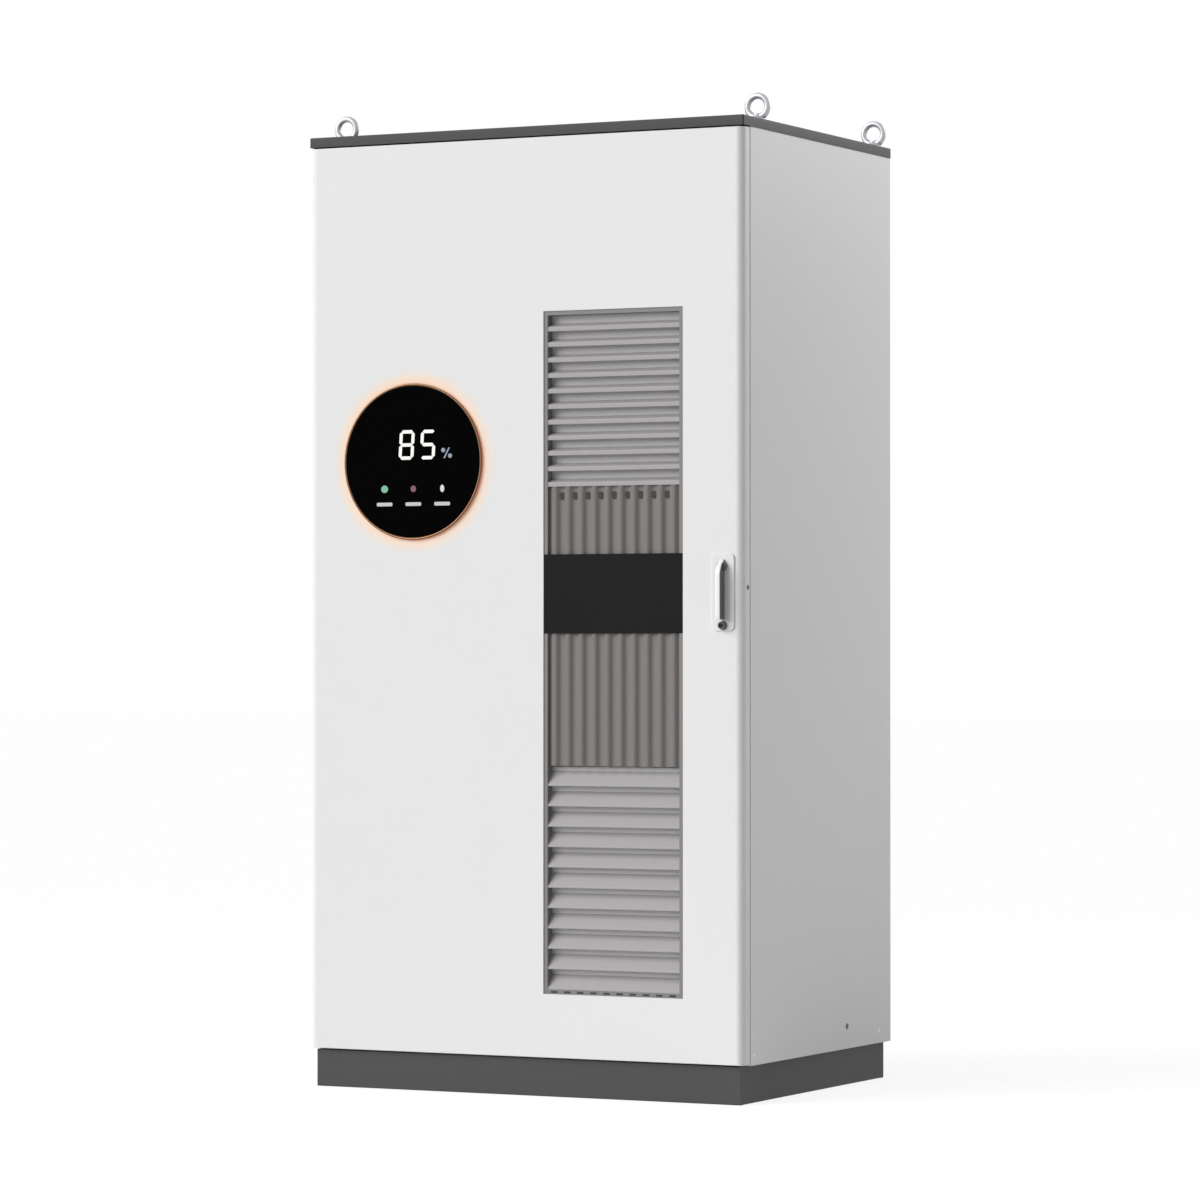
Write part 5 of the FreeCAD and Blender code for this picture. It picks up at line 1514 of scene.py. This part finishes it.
@dataclass
class Handle:
    """Lock handle: plate, upright fin and key cylinder; the fin's dark body and bright front strip paint
    the shade on its sides and the light on its front.

    Attributes:
        plate: Thickness of the plate.
        plate_corner: Corner radius of the plate.
        plate_edge: Rounding of the plate's rim.
        fin_width: Width of the fin.
        cap: Depth of the bright strip on the fin's front, which paints the light on the fin's face.
        hub: Diameter of the fin's hub.
        hub_rise: Height of the hub.
        hub_edge: Chamfer of the hub.
        body_gap: How far the fin's body stands inside its strip on each side.
        setback: How far each section's front stands back.
        narrow: How much narrower each section is on each side.
    """

    plate: float = 0.004
    plate_corner: float = 0.012
    plate_edge: float = 0.0016
    fin_width: float = 0.011
    cap: float = 0.0035
    hub: float = 0.024
    hub_rise: float = 0.009
    hub_edge: float = 0.001
    body_gap: float = 0.0004
    setback: tuple[float, ...] = (0.006, 0.002, 0.0, 0.0, 0.0, 0.0015, 0.0085, 0.021, 0.0245)
    narrow: tuple[float, ...] = (0.0015, 0.0004, 0.0, 0.0, 0.0, 0.0, 0.0, 0.0006, 0.0018)

    def build(self, shop: Workshop) -> None:
        """Make the handle.

        Args:
            shop: The workshop.
        """
        low, high = box_arrays("handle_base")
        face = high[1] - self.plate
        plate = rounded_block((low[0], face, low[2]), high, self.plate_corner, self.plate_edge,
                              Along.Y, steps=6)
        shop.piece("handle_plate", [plate], Paint.WHITE, "door", ("handle_base",))
        key_low, key_high = box_arrays("key_cylinder")
        axis = ((key_low[0] + key_high[0]) / 2, 0.0, key_high[2] - 0.005)
        boss = turned([(0.0075, low[1]), (0.0086, low[1] + 0.0008), (0.0092, face - 0.001), (0.0105, face)],
                      axis, Along.Y, 40)
        shop.piece("key_boss", [boss], Paint.GRIP_AND_FIN_SHADE, "door")
        self.fin(shop)
        shop.dress(Paint.STEEL, "key_cylinder", "handle_spindle", "lock_pinion")

    def fin(self, shop: Workshop) -> None:
        """Fin with a bright front strip on a dark body, lit and shaded copies of one satin fin that paint
        the light on its front and the shade and dark reflection on its sides: rounded sections whose front
        follows the fin's side outline.

        Args:
            shop: The workshop.
        """
        low, high = box_arrays("handle_lever")
        back = high[1]
        foot, top = low[2], high[2]
        z = np.array([foot, foot + 0.0012, foot + 0.005, foot + 0.02, top - 0.034, top - 0.026, top - 0.012,
                      top - 0.003, top])
        narrow = np.array(self.narrow)
        front = low[1] + np.array(self.setback)
        seam = np.minimum(front + self.cap, back - 0.001)
        half = self.fin_width / 2
        body = self.sections(z, seam, np.full_like(z, back), half - self.body_gap - narrow, 0.20)
        strip = self.sections(z, front, seam, half - narrow, 0.55)
        spindle_low, spindle_high = box_arrays("handle_spindle")
        middle = ((low[0] + high[0]) / 2, 0.0, (spindle_low + spindle_high)[2] / 2)
        radius = self.hub / 2
        shoulder = back - self.hub_rise
        profile = [(radius - self.hub_edge, shoulder), (radius, shoulder + self.hub_edge), (radius, back)]
        hub = turned(profile, middle, Along.Y, 40)
        # The dark body is painted shade on the fin's sides, the white strip painted light on its front.
        shop.piece("handle_fin", [body, hub], Paint.GRIP_AND_FIN_SHADE, "handle", ("handle_lever",), smooth=40.0)
        shop.piece("handle_strip", [strip], Paint.LEVER, "handle", smooth=40.0)

    @staticmethod
    def sections(z: Array, front: Array, back: Array, width: Array, corner: float) -> Part:
        """Body from rounded rectangles up Z: unit outline times half the width and half the depth.

        Args:
            z: Height of each section.
            front: Y of its front.
            back: Y of its back.
            width: Half its width.
            corner: Corner radius as a share of half the width.

        Returns:
            The closed surface.
        """
        low, high = box_arrays("handle_lever")
        ring, _ = rounded_outline((1.0, 1.0), corner, 5)
        x = (low[0] + high[0]) / 2 + ring[None, :, 0] * width[:, None]
        y = (back + front)[:, None] / 2 + ring[None, :, 1] * (back - front)[:, None] / 2
        return grid_part(np.stack([x, y, np.broadcast_to(z[:, None], x.shape)], axis=-1))


@dataclass
class Cooler:
    """Door cooler behind the grille.

    Attributes:
        guard_rings: Rings of the fan guard.
        wire: Radius of the guard's wire.
        eye: Radius of the innermost ring.
        margin: How far the guard reaches past the fan.
        spokes: Angles of the spokes, in degrees.
    """

    guard_rings: int = 6
    wire: float = 0.0014
    eye: float = 0.03
    margin: float = 0.012
    spokes: tuple[int, ...] = (45, 135, 225, 315)

    def build(self, shop: Workshop) -> None:
        """Make the cooler.

        Args:
            shop: The workshop.
        """
        shop.dress(Paint.ZINC, "cooler_case", "fan_frames")
        shop.dress(Paint.COIL, "cooler_coils")
        shop.dress(Paint.POT, "compressor")
        shop.dress(Paint.BLACK, "condenser_fan", "evaporator_fan")
        self.guard(shop)

    def guard(self, shop: Workshop) -> None:
        """Wire guard over the inner fan: circles and four spokes.

        Args:
            shop: The workshop.
        """
        low, high = box_arrays("evaporator_fan")
        centre = (low + high) / 2
        radius = (high[0] - low[0]) / 2 + self.margin
        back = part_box("fan_frames")[1][1] + self.wire
        turn = np.linspace(0, 2 * math.pi, 96, endpoint=False)
        parts = []
        for size in np.linspace(self.eye, radius, self.guard_rings):
            path = np.stack([centre[0] + size * np.cos(turn), np.full_like(turn, back),
                             centre[2] + size * np.sin(turn)], axis=-1)
            parts.append(tube(path, self.wire, (0, 1, 0), closed=True, steps=8))
        for angle in np.radians(self.spokes):
            ray = np.array([math.cos(angle), 0.0, math.sin(angle)])
            hub = np.array([centre[0], back + self.wire, centre[2]])
            path = np.stack([hub + ray * self.eye, hub + ray * radius])
            parts.append(tube(path, self.wire, (0, 1, 0), steps=8))
        shop.piece("fan_guard", parts, Paint.STEEL, "door")


@dataclass
class Rack:
    """Battery rack with its packs, converter, control box and canister.

    Attributes:
        rows: Packs above each other.
        pack_height: Height of a pack.
        bay_gap: Gap between the packs of the two bays.
        edge: Rounding of a case.
        face: Thickness of a front plate.
        face_inset: Inset of a front plate from the case's sides.
        vent: Length of a vent slot.
        vents: Vent slots on a pack.
        vent_foot: Height of the lowest slot on a pack.
        vent_pitch: Distance of the slots on a pack.
        screw_side: Distance of a pack's screws from its sides.
        screw_end: Distance of a pack's screws from its foot and top.
        lamp_level: Height of a pack's lamps.
        lamp_reach: Distance of the lamps from the pack's middle.
        grip_side: Distance of a grip from its pack's side.
        grip_bend: Length cut from both runs at a grip's bend.
        grip_bar: Radius of a grip's bar.
        box_height: Height of the distribution box.
        control_height: Height of the control box.
        frame_inset: Inset of a raised door frame from its box.
        frame_width: Width of a raised door frame.
        frame_rise: Height of a raised door frame.
        box_screw: Distance of a box's screws from its sides.
    """

    rows: int = 5
    pack_height: float = 0.225
    bay_gap: float = 0.030
    edge: float = 0.0025
    face: float = 0.0022
    face_inset: float = 0.006
    vent: float = 0.060
    vents: int = 5
    vent_foot: float = 0.070
    vent_pitch: float = 0.014
    screw_side: float = 0.018
    screw_end: float = 0.016
    lamp_level: float = 0.185
    lamp_reach: float = 0.012
    grip_side: float = 0.045
    grip_bend: float = 0.009
    grip_bar: float = 0.0048
    box_height: float = 0.300
    control_height: float = 0.240
    frame_inset: float = 0.012
    frame_width: float = 0.010
    frame_rise: float = 0.0016
    box_screw: float = 0.017

    def build(self, shop: Workshop) -> None:
        """Make the rack and what it carries.

        Args:
            shop: The workshop.
        """
        shop.dress(Paint.ZINC, "rack_frame", "rack_shelves")
        shop.dress(Paint.CELL, "battery_cells")
        shop.dress(Paint.LIGHT_GREY, "main_breaker", "door_switch")
        shop.dress(Paint.BLACK, "breaker_toggle", "isolator_knob", "switch_plunger")
        shop.dress(Paint.RED, "fire_canister")
        shop.dress(Paint.ORANGE, "pack_links")
        shop.dress(Paint.PACK, "equipment_cases")
        self.packs(shop)
        self.grips(shop)
        self.boxes(shop)

    def spans(self) -> list[tuple[float, float]]:
        """Left and right face of the packs in each bay."""
        low, high = box_arrays("battery_cases")
        return [(low[0], -self.bay_gap / 2), (self.bay_gap / 2, high[0])]

    def levels(self) -> Array:
        """Foot of each row of packs."""
        low, high = box_arrays("battery_cases")
        return np.linspace(low[2], high[2] - self.pack_height, self.rows)

    def packs(self, shop: Workshop) -> None:
        """Pack cases, each with a front plate, corner screws, vent slots drawn as dark marks of painted
        shade, and two lamps.

        Args:
            shop: The workshop.
        """
        low, high = box_arrays("battery_cases")
        cases: list[Part] = []
        plates: list[Part] = []
        screws: list[Part] = []
        vents: list[Part] = []
        lamps: list[Part] = []
        front = low[1] - self.face
        inset = self.face_inset
        for left, right in self.spans():
            middle = (left + right) / 2
            for foot in self.levels():
                top = foot + self.pack_height
                cases.append(rounded_block((left, low[1], foot), (right, high[1], top),
                                           self.edge, self.edge))
                start = (left + inset, front, foot + inset)
                end = (right - inset, low[1] + 0.001, top - inset)
                plates.append(rounded_block(start, end, 0.006, 0.0012, Along.Y))
                screws += [screw_head(x, front, z)
                           for x in (left + self.screw_side, right - self.screw_side)
                           for z in (foot + self.screw_end, top - self.screw_end)]
                slot_foot = foot + self.vent_foot
                vents += [self.inlay(middle, front, slot_foot + self.vent_pitch * step,
                                     self.vent / 2, 0.003) for step in range(self.vents)]
                lamps += [self.inlay(middle + dx, front, foot + self.lamp_level, 0.004, 0.004)
                          for dx in (-self.lamp_reach, self.lamp_reach)]
        shop.piece("pack_cases", cases, Paint.PACK, "cabinet", ("battery_cases",))
        shop.piece("pack_fronts", plates, Paint.PACK, "cabinet")
        shop.piece("pack_screws", screws, Paint.STEEL, "cabinet")
        # Vent slots are thin dark marks, painted shade in place of openings.
        shop.piece("pack_vents", vents, Paint.SEAL_AND_SLOT_SHADE, "cabinet")
        shop.piece("pack_lamps", lamps, Paint.GREEN_LAMP, "cabinet")

    @staticmethod
    def inlay(x: float, face: float, z: float, half_width: float, half_height: float) -> Part:
        """Thin rounded mark on a face that looks to -Y."""
        outline, _ = rounded_outline((half_width, half_height), min(half_width, half_height) * 0.95, 4)
        return carried((outline + np.array([x, z]))[:, ::-1], face - 0.0004, face + 0.0004, Along.Y)

    def grips(self, shop: Workshop) -> None:
        """Bent round grips, two on each pack.

        Args:
            shop: The workshop.
        """
        low, high = box_arrays("pack_grips")
        reach = low[1] + 0.005
        first = low[2] + 0.005 - self.levels()[0]
        length = self.pack_height - 0.080 - 0.010
        parts = []
        for left, right in self.spans():
            for x in (left + self.grip_side, right - self.grip_side):
                for foot in self.levels() + first:
                    corners = [(x, high[1], foot), (x, reach, foot), (x, reach, foot + length),
                               (x, high[1], foot + length)]
                    path = arc_path(corners, self.grip_bend)
                    parts.append(tube(path, self.grip_bar, (1, 0, 0), steps=14))
        shop.piece("pack_handles", parts, Paint.BLACK, "cabinet", ("pack_grips",))

    def boxes(self, shop: Workshop) -> None:
        """Raised door frames, screws, and vents drawn as dark marks of painted shade, on the distribution
        box and the control box.

        Args:
            shop: The workshop.
        """
        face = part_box("battery_cases")[0][1]
        low, high = box_arrays("equipment_cases")
        left, right = self.spans()[1]
        middle = (left + right) / 2
        wide = self.frame_width
        raised = face - self.frame_rise
        frames: list[Part] = []
        screws: list[Part] = []
        for bottom, top in ((low[2], low[2] + self.box_height), (high[2] - self.control_height, high[2])):
            half = ((right - left) / 2 - self.frame_inset, (top - bottom) / 2 - self.frame_inset)
            section = [(wide, wide, raised), (0.0, 0.0, raised), (0.0, 0.0, face + 0.0004),
                       (wide, wide, face + 0.0004)]
            frames.append(framed(section, half, (middle, (bottom + top) / 2)))
            screws += [screw_head(x, raised, z) for x in (left + self.box_screw, right - self.box_screw)
                       for z in (bottom + self.box_screw, top - self.box_screw)]
        vents = [self.inlay(middle, face, low[2] + 0.060 + 0.016 * step, 0.150, 0.004) for step in range(6)]
        lock = turned([(0.010, face - 0.004), (0.011, face - 0.003), (0.011, face)],
                      (right - 0.045, 0.0, low[2] + 0.190), Along.Y, 32)
        shop.piece("box_frames", frames, Paint.PACK, "cabinet", bevel=0.0005)
        shop.piece("box_screws", screws + [lock], Paint.STEEL, "cabinet")
        # Box vents are thin dark marks, painted shade in place of openings.
        shop.piece("box_vents", vents, Paint.SEAL_AND_SLOT_SHADE, "cabinet")


@dataclass
class Studio:
    """Floor, lights, world and camera.

    Attributes:
        place: Place of the camera.
        azimuth: Turn of the camera round Z, in degrees.
        pitch: Upward tilt, in degrees.
        lens: Focal length in millimetres on a 36 mm sensor.
        ambient: Strength of the world for surfaces.
        key: Strength of the sun from the front left.
        side: Power of the panel light behind the right side.
        key_from: Direction that the sun shines from.
        key_angle: Width of the sun, in degrees.
        panel_place: Place of the panel light.
        panel_aim: Point that the panel light faces.
        panel_size: Width of the panel light.
        reach: Half the width of the floor.
    """

    place: tuple[float, float, float] = (5.0858, -10.0410, 1.0061)
    azimuth: float = 26.90
    pitch: float = 0.6207
    lens: float = 143.985
    ambient: float = 0.24
    key: float = 2.72
    side: float = 48.0
    key_from: tuple[float, float, float] = (-0.66, -0.71, 0.50)
    key_angle: float = 50.0
    panel_place: tuple[float, float, float] = (2.2, 2.6, 3.4)
    panel_aim: tuple[float, float, float] = (0.5, 0.0, 1.2)
    panel_size: float = 2.0
    reach: float = 60.0

    def build(self) -> None:
        """Make the stage."""
        bpy.context.scene.view_settings.view_transform = "Standard"
        self.camera()
        self.world()
        self.sun("key_sun")
        self.panel("side_panel_light")
        self.floor()

    def camera(self) -> None:
        """Camera at the viewing angle of the reference."""
        data = bpy.data.cameras.new("camera")
        data.sensor_width = 36.0
        data.lens = self.lens
        data.clip_end = 200.0
        camera = bpy.data.objects.new("camera", data)
        camera.location = self.place
        camera.rotation_euler = (math.radians(90 + self.pitch), 0.0, math.radians(self.azimuth))
        bpy.context.scene.collection.objects.link(camera)
        bpy.context.scene.camera = camera

    def world(self) -> None:
        """White where it is seen directly, in gloss or through glass; soft grey light on surfaces."""
        world = bpy.data.worlds.new("studio")
        bpy.context.scene.world = world
        world.use_nodes = True
        tree = world.node_tree
        background = tree.nodes["Background"]
        background.inputs["Color"].default_value = (1.0, 1.0, 1.0, 1.0)
        tree.links.new(self.by_ray(tree, self.ambient, 1.0), background.inputs["Strength"])

    @staticmethod
    def by_ray(tree: bpy.types.NodeTree, unseen: float, seen: float) -> bpy.types.NodeSocket:
        """Value that differs for rays that light surfaces and rays that are seen, in gloss or glass too.

        Args:
            tree: Node tree of the world or a material.
            unseen: Value for light on surfaces.
            seen: Value for camera, glossy and transmission rays.

        Returns:
            The value's socket.
        """
        path = tree.nodes.new("ShaderNodeLightPath")
        first = tree.nodes.new("ShaderNodeMath")
        first.operation = "MAXIMUM"
        second = tree.nodes.new("ShaderNodeMath")
        second.operation = "MAXIMUM"
        choice = tree.nodes.new("ShaderNodeMapRange")
        choice.inputs["To Min"].default_value = unseen
        choice.inputs["To Max"].default_value = seen
        tree.links.new(path.outputs["Is Camera Ray"], first.inputs[0])
        tree.links.new(path.outputs["Is Glossy Ray"], first.inputs[1])
        tree.links.new(first.outputs[0], second.inputs[0])
        tree.links.new(path.outputs["Is Transmission Ray"], second.inputs[1])
        tree.links.new(second.outputs[0], choice.inputs["Value"])
        return choice.outputs[0]

    def sun(self, name: str) -> None:
        """Broad sun from the front left.

        Args:
            name: Name of the lamp.
        """
        data = bpy.data.lights.new(name, "SUN")
        data.energy = self.key
        data.angle = math.radians(self.key_angle)
        lamp = bpy.data.objects.new(name, data)
        lamp.rotation_euler = Vector(self.key_from).to_track_quat("Z", "Y").to_euler()
        bpy.context.scene.collection.objects.link(lamp)

    def panel(self, name: str) -> None:
        """Square soft light behind the right side.

        Args:
            name: Name of the lamp.
        """
        data = bpy.data.lights.new(name, "AREA")
        data.energy = self.side
        data.size = self.panel_size
        lamp = bpy.data.objects.new(name, data)
        lamp.location = self.panel_place
        towards = Vector(self.panel_aim) - Vector(self.panel_place)
        lamp.rotation_euler = towards.to_track_quat("-Z", "Y").to_euler()
        lamp.visible_camera = False
        bpy.context.scene.collection.objects.link(lamp)

    def floor(self) -> None:
        """Pale floor that fades into the white ground and keeps a soft shadow."""
        reach = self.reach
        mesh = bpy.data.meshes.new("floor")
        corners = np.array([[-reach, -reach, 0], [reach, -reach, 0], [reach, reach, 0], [-reach, reach, 0]])
        mesh.from_pydata(corners.tolist(), [], [(0, 1, 2, 3)])
        floor = bpy.data.objects.new("floor", mesh)
        bpy.context.scene.collection.objects.link(floor)
        material = bpy.data.materials.new("pale_floor")
        material.use_nodes = True
        tree = material.node_tree
        shader = tree.nodes["Principled BSDF"]
        shader.inputs["Roughness"].default_value = 0.9
        shader.inputs["Specular IOR Level"].default_value = 0.0
        shader.inputs["Emission Color"].default_value = (1.0, 1.0, 1.0, 1.0)
        tree.links.new(self.by_ray(tree, 0.80, 0.25), shader.inputs["Base Color"])
        tree.links.new(self.by_ray(tree, 0.0, 0.83), shader.inputs["Emission Strength"])
        mesh.materials.append(material)


def main() -> None:
    """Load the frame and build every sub-assembly in order."""
    logging.basicConfig(level=logging.INFO, format="%(name)s: %(message)s")
    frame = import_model()
    shop = Workshop(frame["nodes"])
    Studio().build()
    for assembly in (Enclosure(), DoorLeaf(), Grille(), Display(), Handle(), Cooler(), Rack()):
        assembly.build(shop)
        LOG.info("%s done", type(assembly).__name__)


if __name__ == "__main__":
    main()
